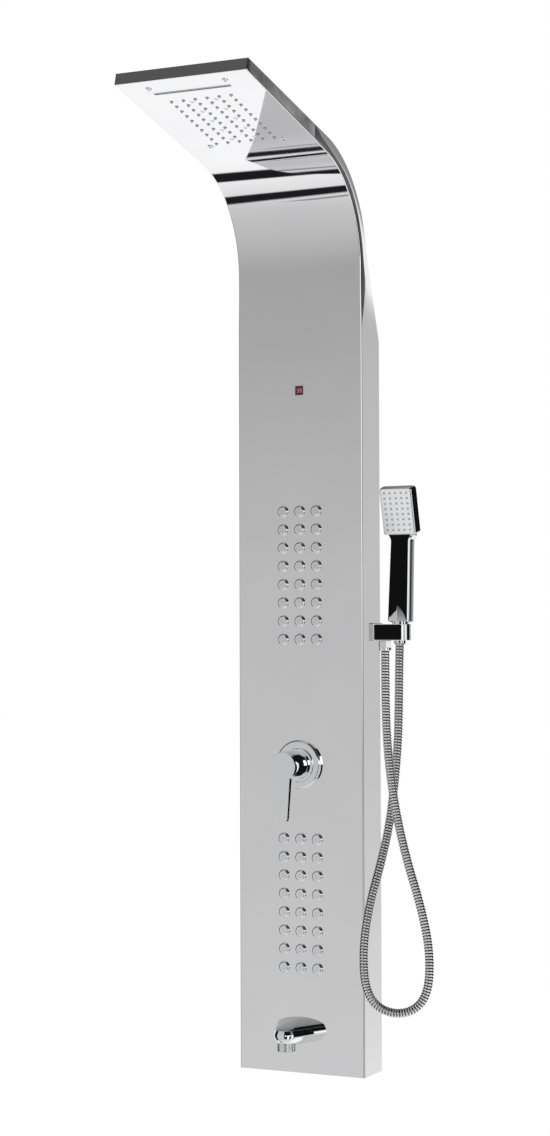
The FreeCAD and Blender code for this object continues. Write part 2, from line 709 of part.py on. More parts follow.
def mixer_valve():
    """Brass valve behind the sheet, with its gasket and its two inlet unions."""
    half = VALVE_WIDTH / 2
    valve = box(-half, half, VALVE_FRONT, VALVE_FRONT + VALVE_DEPTH, VALVE_BOTTOM, VALVE_TOP)
    upright = [edge for edge in valve.Edges if abs(edge.Vertexes[0].Z - edge.Vertexes[-1].Z) > SHEET]
    valve = valve.makeFillet(2 * FOLD_RADIUS, upright)
    down = (0, 0, -1)
    unions = []
    for side in (-1, 1):
        place = (side * INLET_SPACING / 2, VALVE_FRONT + VALVE_DEPTH / 2, VALVE_BOTTOM)
        union = faceted(6, [(UNION_RADIUS, 0), (UNION_RADIUS, UNION_LENGTH)], place, down)
        unions.append(union.fuse(rod(INLET_RADIUS, UNION_LENGTH, INLET_LENGTH, place, down)))
    cavity = rod(CARTRIDGE_RADIUS + FIT, PIVOT_OUT - CARTRIDGE_LENGTH, SHEET, MIXER_ORIGIN, FORWARD)
    neck = rod(RING_BORE - TURN_GAP, VALVE_OUT, 0, MIXER_ORIGIN, FORWARD)
    add("mixer_valve", valve.fuse(neck).cut(cavity))
    add("inlet_unions", Part.makeCompound(unions))

    half_gasket = VALVE_GASKET_WIDTH / 2
    gasket = box(-half_gasket, half_gasket, INSIDE_Y, VALVE_FRONT, VALVE_BOTTOM, VALVE_TOP)
    add("valve_gasket", gasket.cut(rod(RING_RADIUS + 1, -PANEL_DEPTH, 0, MIXER_ORIGIN, FORWARD)))


def mixer_trim():
    """Escutcheon, function selector ring and the dome over the cartridge."""
    bevel = ESCUTCHEON_BEVEL
    soft = ESCUTCHEON_BEVEL * (1 - math.sqrt(0.5))
    plate = [
        (RING_RADIUS + FIT, 0),
        (ESCUTCHEON_RADIUS, 0),
        (ESCUTCHEON_RADIUS, ESCUTCHEON_THICKNESS - bevel),
        (ESCUTCHEON_RADIUS - soft, ESCUTCHEON_THICKNESS - soft),
        (ESCUTCHEON_RADIUS - bevel, ESCUTCHEON_THICKNESS),
        (RING_RADIUS + FIT, ESCUTCHEON_THICKNESS),
    ]
    add("mixer_escutcheon", turned(plate, MIXER_ORIGIN, FORWARD))
    ring = [
        (RING_BORE, VALVE_OUT + TURN_GAP),
        (RING_RADIUS - FIT, VALVE_OUT + TURN_GAP),
        (RING_RADIUS - FIT, RING_FRONT - RING_EDGE),
        (RING_RADIUS - RING_EDGE, RING_FRONT),
        (RING_BORE, RING_FRONT),
    ]
    add("selector_ring", turned(ring, MIXER_ORIGIN, FORWARD))

    outside = dome_arc(DOME_RADIUS)
    inside = dome_arc(DOME_RADIUS - DOME_WALL)
    dome = [(DOME_RADIUS, 0)] + outside + inside[::-1] + [(DOME_RADIUS - DOME_WALL, 0)]
    add("cartridge_dome", turned(dome, MIXER_ORIGIN, FORWARD))


def dome_arc(radius):
    """Profile of a sphere round the lever's pivot, from its widest place to the mouth."""
    mouth = math.acos(DOME_MOUTH / radius)
    arc = []
    for step in range(DOME_CHORDS + 1):
        angle = mouth * step / DOME_CHORDS
        arc.append((radius * math.cos(angle), PIVOT_OUT + radius * math.sin(angle)))
    return arc


def mixer_cartridge():
    """Cartridge and its nut, the carrier that turns in it, the stem and the stem's pin."""
    front = PIVOT_OUT - CARRIER_RADIUS / 2
    cartridge = rod(CARTRIDGE_RADIUS, PIVOT_OUT - CARTRIDGE_LENGTH, front, MIXER_ORIGIN, FORWARD)
    hollow = rod(CARRIER_RADIUS + TURN_GAP, 0, PIVOT_OUT, MIXER_ORIGIN, FORWARD)
    add("mixer_cartridge", cartridge.cut(hollow))
    nut_bore = CARTRIDGE_RADIUS - CARTRIDGE_NUT_LIP
    nut_radius = DOME_RADIUS - DOME_WALL - FIT
    nut = [
        (nut_bore, front),
        (CARTRIDGE_RADIUS + FIT, front),
        (CARTRIDGE_RADIUS + FIT, 0),
        (nut_radius, 0),
        (nut_radius, front + CARTRIDGE_NUT_TOP),
        (nut_bore, front + CARTRIDGE_NUT_TOP),
    ]
    add("cartridge_nut", turned(nut, MIXER_ORIGIN, FORWARD))

    half = STEM_WIDTH / 2
    carrier = rod(CARRIER_RADIUS, TURN_GAP, PIVOT_OUT + half, MIXER_ORIGIN, FORWARD)
    slot = half + TURN_GAP
    y_slot = FRONT_Y - PIVOT_OUT + half + TURN_GAP
    fork = box(-slot, slot, FRONT_Y - 2 * PIVOT_OUT, y_slot,
               MIXER_HEIGHT - CARRIER_RADIUS, MIXER_HEIGHT + CARRIER_RADIUS)
    pivot = (0, FRONT_Y - PIVOT_OUT, MIXER_HEIGHT)
    pin_length = math.sqrt(CARRIER_RADIUS ** 2 - STEM_PIN_RADIUS ** 2)
    pin_hole = rod(STEM_PIN_RADIUS, -CARRIER_RADIUS, CARRIER_RADIUS, pivot, (1, 0, 0))
    add("stem_carrier", carrier.cut([fork, pin_hole]))
    add("stem_pin", rod(STEM_PIN_RADIUS, -pin_length, pin_length, pivot, (1, 0, 0)))
    stem = box(-half, half, FRONT_Y - STEM_END, FRONT_Y - PIVOT_OUT,
               MIXER_HEIGHT - half, MIXER_HEIGHT + half)
    knuckle = rod(half, -half, half, pivot, (1, 0, 0))
    bore = rod(STEM_PIN_RADIUS + FIT / 2, -STEM_WIDTH, STEM_WIDTH, pivot, (1, 0, 0))
    add("cartridge_stem", stem.fuse(knuckle).removeSplitter().cut(bore))


def mixer_handle():
    """Round handle with its flat lever tongue, hollow behind, and its grub screw."""
    y_front = FRONT_Y - HANDLE_FRONT
    profile = [
        Vector(0, y_front, MIXER_HEIGHT),
        Vector(0, y_front, MIXER_HEIGHT - LEVER_REACH),
        Vector(0, y_front + LEVER_TIP_THICKNESS, MIXER_HEIGHT - LEVER_REACH),
        Vector(0, y_front + LEVER_THICKNESS, MIXER_HEIGHT - HANDLE_RADIUS + SHEET),
        Vector(0, y_front + LEVER_THICKNESS, MIXER_HEIGHT),
    ]
    side_view = Part.Face(Part.makePolygon(profile + profile[:1])).extrude(Vector(PANEL_WIDTH, 0, 0))
    side_view.translate(Vector(-HALF_WIDTH, 0, 0))
    tip = LEVER_TIP_WIDTH / 2
    root = LEVER_ROOT_WIDTH / 2
    root_z = MIXER_HEIGHT - math.sqrt(HANDLE_RADIUS ** 2 - root ** 2) + SHEET
    tip_z = MIXER_HEIGHT - LEVER_REACH + tip
    outline = [
        Part.LineSegment(Vector(-root, 0, root_z), Vector(root, 0, root_z)).toShape(),
        Part.LineSegment(Vector(root, 0, root_z), Vector(tip, 0, tip_z)).toShape(),
        Part.Arc(Vector(tip, 0, tip_z), Vector(0, 0, tip_z - tip), Vector(-tip, 0, tip_z)).toShape(),
        Part.LineSegment(Vector(-tip, 0, tip_z), Vector(-root, 0, root_z)).toShape(),
    ]
    front_view = Part.Face(Part.Wire(outline)).extrude(Vector(0, 2 * y_front, 0))
    handle = rod(HANDLE_RADIUS, HANDLE_BACK, HANDLE_FRONT, MIXER_ORIGIN, FORWARD)
    handle = handle.fuse(side_view.common(front_view)).removeSplitter()
    hollow = rod(HANDLE_RADIUS - HANDLE_WALL, HANDLE_BACK, HANDLE_FLOOR, MIXER_ORIGIN, FORWARD)
    reach = STEM_WIDTH / 2 + FIT
    pocket = box(-reach, reach, FRONT_Y - STEM_END - FIT, FRONT_Y - HANDLE_FLOOR,
                 MIXER_HEIGHT - reach, MIXER_HEIGHT + reach)
    screw_place = (0, FRONT_Y - (HANDLE_FLOOR + STEM_END) / 2, MIXER_HEIGHT)
    down = (0, 0, -1)
    screw_hole = rod(HANDLE_SCREW_RADIUS, 0, 2 * HANDLE_RADIUS, screw_place, down)
    add("mixer_handle", handle.cut([hollow, pocket, screw_hole]))
    screw_end = HANDLE_RADIUS - HANDLE_SCREW_INSET
    add("handle_screw", rod(HANDLE_SCREW_RADIUS, STEM_WIDTH / 2, screw_end, screw_place, down))


# ---------------------------------------------------------------- bath spout
def spout_section(height, half_width, nose_radius, nose_out):
    """Closed outline of the spout at a height: flat on the panel, with a round nose."""
    root_y = FRONT_Y - SPOUT_GASKET
    centre = Vector(0, FRONT_Y - nose_out, height)
    corner = Vector(half_width, root_y, height)
    across = centre - corner
    angle = math.atan2(across.y, across.x) + math.asin(nose_radius / across.Length)
    tangent = math.sqrt(across.Length ** 2 - nose_radius ** 2)
    touch = corner + Vector(math.cos(angle), math.sin(angle), 0) * tangent
    first = math.atan2(touch.y - centre.y, touch.x - centre.x)
    last = -math.pi - first
    corners = [Vector(-half_width, root_y, height), corner]
    for step in range(SPOUT_NOSE_CHORDS + 1):
        turn = first + (last - first) * step / SPOUT_NOSE_CHORDS
        corners.append(centre + Vector(math.cos(turn), math.sin(turn), 0) * nose_radius)
    return Part.makePolygon(corners + corners[:1])


def shank_nut(origin, axis):
    """Hexagonal nut on a threaded shank, on the sheet's inner side."""
    nut = faceted(6, [(SHANK_NUT_RADIUS, 0), (SHANK_NUT_RADIUS, SHANK_NUT_LENGTH)], origin, axis)
    return nut.cut(rod(SHANK_RADIUS + FIT, -1, SHANK_NUT_LENGTH + 1, origin, axis))


def spout():
    """Bath spout with its gasket, outlet, and the nut behind the sheet."""
    low = SPOUT_HEIGHT - SPOUT_BAND / 2
    high = SPOUT_HEIGHT + SPOUT_BAND / 2
    foot = low - SPOUT_BELLY
    belly_nose = SPOUT_NOSE_RADIUS - SPOUT_BELLY_INSET
    belly = spout_section(foot, SPOUT_HALF_WIDTH - SPOUT_FOOT_INSET, belly_nose, SPOUT_OUTLET_OUT)
    band_low = spout_section(low, SPOUT_HALF_WIDTH, SPOUT_NOSE_RADIUS, SPOUT_OUTLET_OUT)
    band_high = spout_section(high, SPOUT_HALF_WIDTH, SPOUT_NOSE_RADIUS, SPOUT_OUTLET_OUT)
    crown = spout_section(
        high + SPOUT_CROWN, SPOUT_CROWN_HALF_WIDTH, SPOUT_BELLY_INSET, 2 * SPOUT_BELLY_INSET
    )
    levels = [belly, band_low, band_high, crown]
    slices = [Part.makeLoft([lower, upper], True, True) for lower, upper in zip(levels, levels[1:])]
    body = slices[0].fuse(slices[1:]).removeSplitter()
    outlet = (0, FRONT_Y - SPOUT_OUTLET_OUT, foot)
    down = (0, 0, -1)
    thread_radius = AERATOR_RADIUS - AERATOR_WALL
    hollow = rod(thread_radius + FIT, -AERATOR_DEPTH - FIT, 1, outlet, down)
    behind = SPOUT_GASKET + SHEET + SHANK_LENGTH
    shank = rod(SHANK_RADIUS, -behind, 0, (0, FRONT_Y - SPOUT_GASKET, SPOUT_HEIGHT), FORWARD)
    add("spout_body", body.cut(hollow).fuse(shank))

    inner = AERATOR_BORE - AERATOR_WALL
    aerator = [
        (inner, -AERATOR_DEPTH),
        (thread_radius, -AERATOR_DEPTH),
        (thread_radius, 0),
        (AERATOR_RADIUS, 0),
        (AERATOR_RADIUS, AERATOR_DROP - 1),
        (AERATOR_RADIUS - 1, AERATOR_DROP),
        (AERATOR_BORE, AERATOR_DROP),
        (AERATOR_BORE, 1),
        (inner, 1),
    ]
    add("spout_aerator", turned(aerator, outlet, down))
    seat = (0, FRONT_Y, SPOUT_HEIGHT)
    ring = rod(SHANK_NUT_RADIUS, 0, SPOUT_GASKET, seat, FORWARD)
    add("spout_gasket", ring.cut(rod(SHANK_RADIUS + FIT, -1, SPOUT_GASKET + 1, seat, FORWARD)))
    add("spout_nut", shank_nut((0, INSIDE_Y, SPOUT_HEIGHT), (0, 1, 0)))


# ---------------------------------------------------------------- hand shower holder
HANDSET_FRAME = FreeCAD.Placement(
    Vector(HOLDER_X, HOLDER_Y, HOLDER_HEIGHT), FreeCAD.Rotation(Vector(1, 0, 0), -HANDSET_LEAN)
)


def on_handset(shape):
    """Carry a shape from the hand shower's frame (socket centre, handle up) to the panel's."""
    shape = shape.copy()
    shape.Placement = HANDSET_FRAME.multiply(shape.Placement)
    return shape


def cone_profile(low, high, clearance):
    """Closed profile of the socket's taper between two heights, drawn in by a clearance."""
    middle = (SOCKET_TOP_RADIUS + SOCKET_BOTTOM_RADIUS) / 2 - clearance
    taper = (SOCKET_TOP_RADIUS - SOCKET_BOTTOM_RADIUS) / HOLDER_BLOCK_HEIGHT
    return [(0, low), (middle + taper * low, low), (middle + taper * high, high), (0, high)]


def holder():
    """Holder block with its conical socket, and the inlay in its front."""
    low = HOLDER_HEIGHT - HOLDER_BLOCK_HEIGHT / 2
    root = HALF_WIDTH + HOLDER_FLANGE_THICKNESS
    radius = HOLDER_END_RADIUS
    front_corner = Vector(root, HOLDER_Y - radius, low)
    front_end = Vector(HOLDER_X, HOLDER_Y - radius, low)
    back_end = Vector(HOLDER_X, HOLDER_Y + radius, low)
    back_corner = Vector(root, HOLDER_Y + radius, low)
    outline = Part.Wire([
        Part.LineSegment(front_corner, front_end).toShape(),
        Part.Arc(front_end, Vector(HOLDER_X + radius, HOLDER_Y, low), back_end).toShape(),
        Part.LineSegment(back_end, back_corner).toShape(),
        Part.LineSegment(back_corner, front_corner).toShape(),
    ])
    block = Part.Face(outline).extrude(Vector(0, 0, HOLDER_BLOCK_HEIGHT))
    profile = cone_profile(-HOLDER_BLOCK_HEIGHT, HOLDER_BLOCK_HEIGHT, 0)
    socket = on_handset(turned(profile, (0, 0, 0), (0, 0, 1)))
    inlay = box(root + INLAY_BORDER, HOLDER_X, HOLDER_Y - radius, HOLDER_Y - radius + INLAY_THICKNESS,
                low + INLAY_BORDER, low + HOLDER_BLOCK_HEIGHT - INLAY_BORDER)
    outlet = rod(OUTLET_NIPPLE_RADIUS, 0, OUTLET_NIPPLE_DEPTH, (OUTLET_X, HOLDER_Y, low), (0, 0, 1))
    add("handset_holder", block.cut([socket, inlay, outlet]))
    add("holder_inlay", inlay)


def holder_fixing():
    """Flange of the holder with its shank through the side wall, and the shank's nut."""
    half_y = HOLDER_END_RADIUS + HOLDER_FLANGE_OVERHANG
    half_z = HOLDER_BLOCK_HEIGHT / 2 + HOLDER_FLANGE_OVERHANG
    flange = box(HALF_WIDTH, HALF_WIDTH + HOLDER_FLANGE_THICKNESS, HOLDER_Y - half_y, HOLDER_Y + half_y,
                 HOLDER_HEIGHT - half_z, HOLDER_HEIGHT + half_z)
    corners = [edge for edge in flange.Edges if abs(edge.Vertexes[0].X - edge.Vertexes[-1].X) > SHEET]
    flange = flange.makeFillet(FOLD_RADIUS, corners)
    inward = (-1, 0, 0)
    shank = rod(SHANK_RADIUS, 0, SHEET + SHANK_LENGTH, (HALF_WIDTH, HOLDER_Y, HOLDER_HEIGHT), inward)
    add("holder_flange", flange.fuse(shank))
    add("holder_nut", shank_nut((HALF_WIDTH - SHEET, HOLDER_Y, HOLDER_HEIGHT), inward))


def hose_outlet():
    """Threaded nipple below the holder and the hose's hexagonal nut on it."""
    place = (OUTLET_X, HOLDER_Y, HOLDER_HEIGHT - HOLDER_BLOCK_HEIGHT / 2)
    down = (0, 0, -1)
    half_nut = OUTLET_NUT_LENGTH / 2
    nipple = rod(OUTLET_NIPPLE_RADIUS, -OUTLET_NIPPLE_DEPTH, half_nut, place, down)
    add("hose_outlet", nipple)
    nut = faceted(6, [(OUTLET_NUT_RADIUS, FIT), (OUTLET_NUT_RADIUS, OUTLET_HEX_LENGTH)], place, down)
    collar = rod(OUTLET_COLLAR_RADIUS, OUTLET_HEX_LENGTH, OUTLET_NUT_LENGTH, place, down)
    thread = rod(OUTLET_NIPPLE_RADIUS, -1, half_nut, place, down)
    add("hose_nut", nut.fuse(collar).cut(thread))


# ---------------------------------------------------------------- hand shower
HANDLE_TOP = HANDLE_START + HANDLE_LENGTH
SPRAY_FRAME = FreeCAD.Placement(
    Vector(0, -HANDLE_THICKNESS / 2, HANDLE_TOP + SPRAY_RISE),
    FreeCAD.Rotation(Vector(1, 0, 0), SPRAY_TILT),
)


def spray_slab(inset, back, front):
    """Slab of the spray head between two depths behind its face, drawn in by an inset."""
    wire = rounded_rectangle(SPRAY_WIDTH - 2 * inset, SPRAY_HEIGHT - 2 * inset, SPRAY_CORNER - inset, -back)
    slab = Part.Face(wire).extrude(Vector(0, 0, back - front))
    upright = FreeCAD.Placement(Vector(0, 0, SPRAY_HEIGHT / 2), FreeCAD.Rotation(Vector(1, 0, 0), 90))
    slab.Placement = SPRAY_FRAME.multiply(upright).multiply(slab.Placement)
    return slab


def grip_inlay(handle):
    """Thin inlay in the handle's front, ending below in a pointed arch."""
    front = -HANDLE_THICKNESS / 2
    wide = HANDLE_BOTTOM_WIDTH / 2 - HANDLE_CORNER
    narrow = HANDLE_TOP_WIDTH / 2 - HANDLE_CORNER
    left = Vector(-wide, front, HANDLE_START)
    right = Vector(wide, front, HANDLE_START)
    apex = Vector(0, front, HANDLE_START + GRIP_ARCH_HEIGHT)
    across = Vector(-GRIP_ARCH_HEIGHT, 0, wide).normalize() * GRIP_ARCH_BULGE
    left_middle = (left + apex) / 2 + across
    right_middle = Vector(-left_middle.x, front, left_middle.z)
    outline = Part.Wire([
        Part.Arc(left, left_middle, apex).toShape(),
        Part.Arc(apex, right_middle, right).toShape(),
        Part.LineSegment(right, Vector(narrow, front, HANDLE_TOP)).toShape(),
        Part.LineSegment(Vector(narrow, front, HANDLE_TOP), Vector(-narrow, front, HANDLE_TOP)).toShape(),
        Part.LineSegment(Vector(-narrow, front, HANDLE_TOP), left).toShape(),
    ])
    return Part.Face(outline).extrude(Vector(0, INLAY_THICKNESS, 0)).common(handle)


def hand_shower():
    """Hand shower: handle, spray head, face plate, grip inlay and the hose's cone."""
    lower = rounded_rectangle(HANDLE_BOTTOM_WIDTH, HANDLE_THICKNESS, HANDLE_CORNER, HANDLE_START)
    upper = rounded_rectangle(HANDLE_TOP_WIDTH, HANDLE_THICKNESS, HANDLE_CORNER, HANDLE_TOP)
    handle = Part.makeLoft([lower, upper], True, True)
    head = spray_slab(0, SPRAY_DEPTH, 0)
    shoulder = rounded_rectangle(SPRAY_WIDTH - 2 * SPRAY_RIM, SPRAY_DEPTH - SPRAY_RIM, HANDLE_CORNER, 0)
    shoulder.Placement = SPRAY_FRAME.multiply(
        FreeCAD.Placement(Vector(0, SPRAY_DEPTH / 2, SPRAY_RIM), FreeCAD.Rotation())
    )
    neck = Part.makeLoft([upper, shoulder], True, True)
    inlay = grip_inlay(handle)
    recess = spray_slab(SPRAY_RIM, SPRAY_PLATE, -1)
    body = handle.fuse([neck, head]).removeSplitter().cut([recess, inlay])
    add("handset_body", on_handset(body))
    add("grip_inlay", on_handset(inlay))
    add("spray_face", on_handset(spray_slab(SPRAY_RIM + FIT, SPRAY_PLATE, FIT)))
    cone = turned(cone_profile(-CONE_END, HANDLE_START, SOCKET_CLEARANCE), (0, 0, 0), (0, 0, 1))
    add("hose_cone", on_handset(cone))


# ---------------------------------------------------------------- hose
def hose_points():
    """Whole route of the hose: straight below the outlet nut, free loop, square to the cone."""
    start = Vector(OUTLET_X, HOLDER_Y, HOLDER_HEIGHT - HOLDER_BLOCK_HEIGHT / 2 - OUTLET_NUT_LENGTH)
    end = HANDSET_FRAME.multVec(Vector(0, 0, -CONE_END))
    before_end = HANDSET_FRAME.multVec(Vector(0, 0, -CONE_END - HOSE_END_RUN))
    free = [Vector(*point) for point in HOSE_ROUTE]
    return [start, start - Vector(0, 0, HOSE_END_RUN)] + free + [before_end, end]


def bend_radii(points):
    """Bend radius at each inner point: as large as its two runs allow."""
    radii = []
    for index in range(1, len(points) - 1):
        before = points[index] - points[index - 1]
        after = points[index + 1] - points[index]
        shorter = min(before.Length, after.Length)
        radii.append(0.45 * shorter / math.tan(before.getAngle(after) / 2))
    return radii


def ringed_tube(path, stations):
    """Straight-sided loft along a path through circles at (distance, radius) stations."""
    edges = path.OrderedEdges
    wires = []
    index = 0
    passed = 0.0
    for distance, radius in stations:
        while index < len(edges) - 1 and distance > passed + edges[index].Length:
            passed += edges[index].Length
            index += 1
        edge = edges[index]
        parameter = edge.getParameterByLength(min(distance - passed, edge.Length))
        facing = FreeCAD.Rotation(Vector(0, 1, 0), Vector(0, 0, 0), edge.tangentAt(parameter), "ZXY")
        circle = Part.makeCircle(radius)
        circle.Placement = FreeCAD.Placement(edge.valueAt(parameter), facing)
        wires.append(Part.Wire(circle))
    return Part.makeLoft(wires, True, True)


def cones_volume(stations):
    """Volume of the straight-sided rings through (distance, radius) stations on a straight tube."""
    total = 0.0
    for (low, first), (high, second) in zip(stations, stations[1:]):
        total += math.pi * (high - low) * (first ** 2 + first * second + second ** 2) / 3
    return total


def shower_hose():
    """Metal hose with its ribs and bore, from the outlet nut to the hand shower's cone."""
    points = hose_points()
    radii = bend_radii(points)
    path = tube_path(points, radii)
    length = path.Length
    crest = HOSE_DIAMETER / 2
    root = crest - HOSE_GROOVE
    pitch = (length - 2 * HOSE_DIAMETER) / HOSE_RIBS
    stations = [(0, root)]
    for rib in range(HOSE_RIBS):
        at = HOSE_DIAMETER + rib * pitch
        stations.append((at, root))
        stations.append((at + HOSE_RIB_FLANK * pitch, crest))
        stations.append((at + (1 - HOSE_RIB_VALLEY - HOSE_RIB_FLANK) * pitch, crest))
        stations.append((at + (1 - HOSE_RIB_VALLEY) * pitch, root))
    stations.append((length, root))
    steps = HOSE_BORE_STEPS
    bore_stations = [(length * step / steps, HOSE_BORE / 2) for step in range(steps + 1)]
    hose = ringed_tube(path, stations).cut(ringed_tube(path, bore_stations))
    print("hose length %.1f mm, bend radii %s" % (length, [round(radius) for radius in radii]))
    expected = cones_volume(stations) - cones_volume(bore_stations)
    print("hose volume %.0f, sections times length %.0f" % (hose.Volume, expected))
    add("shower_hose", hose)


# ---------------------------------------------------------------- pipes inside the column
def inner_pipes():
    """Risers to the rain head and the pipes to the jets, the spout and the hand shower."""
    riser_y = FRONT_Y + RISER_DIAMETER
    radius = NECK_RADIUS + RISER_DIAMETER
    for name, x in (("rain_riser", -RISER_X), ("waterfall_riser", RISER_X)):
        across = Vector(x, 0, 0)
        foot = Vector(x, riser_y, VALVE_TOP)
        bend_start = Vector(x, riser_y, NECK_START)
        bend_middle = neck_point(radius, (90 - HEAD_SLOPE) / 2) + across
        bend_end = neck_point(radius, 90 - HEAD_SLOPE) + across
        end = head_point(HEAD_SCREW_BACK + 2 * CHAMBER_MARGIN, RISER_DIAMETER) + across
        path = Part.Wire([
            Part.LineSegment(foot, bend_start).toShape(),
            Part.Arc(bend_start, bend_middle, bend_end).toShape(),
            Part.LineSegment(bend_end, end).toShape(),
        ])
        section = Part.Wire(Part.makeCircle(RISER_DIAMETER / 2, foot, Vector(0, 0, 1)))
        add(name, path.makePipeShell([section], True, False))

    jets_y = INSIDE_Y + MANIFOLD_DEPTH / 2
    up = (0, 0, 1)
    upper_low = UPPER_JETS_TOP - (JET_ROWS - 1) * JET_PITCH - MANIFOLD_MARGIN
    lower_high = LOWER_JETS_TOP + MANIFOLD_MARGIN
    add("upper_jets_pipe", rod(RISER_DIAMETER / 2, VALVE_TOP, upper_low, (0, jets_y, 0), up))
    add("lower_jets_pipe", rod(RISER_DIAMETER / 2, lower_high, VALVE_BOTTOM, (0, jets_y, 0), up))

    elbow_top = SPOUT_HEIGHT + ELBOW_RISE
    elbow = [
        (0, INSIDE_Y + SHANK_LENGTH, SPOUT_HEIGHT),
        (0, PIPE_Y, SPOUT_HEIGHT),
        (0, PIPE_Y, elbow_top),
    ]
    add("spout_elbow", pipe(elbow, ELBOW_DIAMETER, ELBOW_BEND))
    add("spout_pipe", rod(PIPE_DIAMETER / 2, elbow_top, VALVE_BOTTOM, (0, PIPE_Y, 0), up))
    branch = [
        (BRANCH_X, HOLDER_Y, VALVE_TOP),
        (BRANCH_X, HOLDER_Y, HOLDER_HEIGHT),
        (HALF_WIDTH - SHEET - SHANK_LENGTH, HOLDER_Y, HOLDER_HEIGHT),
    ]
    add("handset_pipe", pipe(branch, PIPE_DIAMETER, PIPE_BEND))


# ---------------------------------------------------------------- wall fixing
def wall_fixing():
    """Two wall brackets with upturned hooks, and the two bars of the column that sit in them."""
    thick = BRACKET_THICKNESS
    half = BRACKET_WIDTH / 2
    for name, side in (("upper", 1), ("lower", -1)):
        z = ORIGIN_HEIGHT + side * SCREW_SPACING_Z / 2
        top = z + BRACKET_HEIGHT / 2
        plate = box(-half, half, -thick, 0, z - BRACKET_HEIGHT / 2, top)
        shelf = box(-half, half, -thick - HOOK_DEPTH, 0, top - thick, top)
        hook = box(-half, half, -thick - HOOK_DEPTH, -HOOK_DEPTH, top - thick, top + HOOK_HEIGHT)
        holes = []
        for x in (-SCREW_SPACING_X / 2, SCREW_SPACING_X / 2):
            holes.append(rod(WALL_SCREW_HOLE, -1, thick + 1, (x, 0, z), (0, -1, 0)))
        add(name + "_bracket", plate.fuse([shelf, hook]).removeSplitter().cut(holes))

        bar_front = -HOOK_DEPTH + FIT
        bar_back = bar_front + thick
        reach = HALF_WIDTH - SHEET - FIT
        foot = top + FIT
        bar = box(-reach, reach, bar_front, bar_back, foot, foot + HANGER_HEIGHT)
        pads = []
        for end in (-1, 1):
            inner, outer = sorted((end * (reach - RETURN_LIP + FIT), end * reach))
            pads.append(box(inner, outer, bar_back, -SHEET, foot, foot + HANGER_HEIGHT))
        add(name + "_hanger", bar.fuse(pads).removeSplitter())


def main():
    """Build every piece and write one STEP file for each."""
    front_panel()
    back_cover()
    rain_head()
    display()
    body_jets()
    mixer_valve()
    mixer_trim()
    mixer_cartridge()
    mixer_handle()
    spout()
    holder()
    holder_fixing()
    hose_outlet()
    hand_shower()
    shower_hose()
    inner_pipes()
    wall_fixing()
    os.makedirs("parts", exist_ok=True)
    for name, shape in PARTS.items():
        shape.exportStep("parts/%s.step" % name)
        print("%-20s solids %2d, valid %s" % (name, len(shape.Solids), shape.isValid()))


main()
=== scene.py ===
"""Shower panel column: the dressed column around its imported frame.

Pieces are drawn in millimetres in the panel's own frame: X across (the hand shower is on +X), Y into
the wall, which is Y 0, and Z up from the panel's bottom edge.  Piece.to_object turns them into the
frame's metres, whose origin is the middle of the wall screws, ORIGIN_HEIGHT above that edge.
"""

import logging
import math
from dataclasses import dataclass, field
from enum import Enum
from typing import Iterator

import bmesh
import bpy
from mathutils import Matrix, Vector


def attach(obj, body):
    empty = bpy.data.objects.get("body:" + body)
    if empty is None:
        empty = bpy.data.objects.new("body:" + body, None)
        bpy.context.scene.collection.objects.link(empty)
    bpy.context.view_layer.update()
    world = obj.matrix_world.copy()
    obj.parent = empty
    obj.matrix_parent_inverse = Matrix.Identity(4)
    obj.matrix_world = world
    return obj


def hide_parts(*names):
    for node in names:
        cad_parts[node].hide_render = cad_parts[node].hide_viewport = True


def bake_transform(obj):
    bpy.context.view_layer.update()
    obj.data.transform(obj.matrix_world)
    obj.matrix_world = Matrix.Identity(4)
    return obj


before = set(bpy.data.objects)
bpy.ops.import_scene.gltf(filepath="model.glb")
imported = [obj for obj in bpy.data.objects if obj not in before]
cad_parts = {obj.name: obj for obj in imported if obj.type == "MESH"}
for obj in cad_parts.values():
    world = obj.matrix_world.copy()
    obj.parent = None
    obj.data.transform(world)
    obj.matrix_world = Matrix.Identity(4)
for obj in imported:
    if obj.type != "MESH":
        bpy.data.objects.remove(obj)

LOG = logging.getLogger("shower_panel")
ORIGIN_HEIGHT = 600.0
MILLIMETRE = 0.001

Flat = tuple[float, float]
Loop = list[Vector]
Color = tuple[float, float, float]
Place = tuple[float, float, float]
Socket = bpy.types.NodeSocket
OUTWARD: Place = (0, -1, 0)
DOWN: Place = (0, 0, -1)


class Body(Enum):
    """Moving bodies of the frame that a piece can ride on."""

    COLUMN = "column"
    LEVER = "mixer_lever"
    SELECTOR = "selector"
    HANDSET = "handset"


class Slot(Enum):
    """Material slots of the record."""

    PANEL = "panel_steel"
    INNER = "inner_steel"
    CHROME = "chrome"
    BRASS = "brass"
    BLACK = "black_gloss"
    GLASS = "display_glass"
    WHITE = "white_plastic"
    GREY = "grey_plastic"
    NOZZLE = "nozzle_rubber"
    LENS = "lens"
    SEAL = "seal_rubber"
    HOSE = "hose_metal"
    PIPE = "pipe_plastic"
    BOARD = "circuit"


# ---------------------------------------------------------------- node trees
def grey(level: float) -> tuple[float, float, float, float]:
    """Grey as a colour socket takes it.

    Args:
        level: Grey level.

    Returns:
        The colour, opaque.
    """
    return level, level, level, 1.0


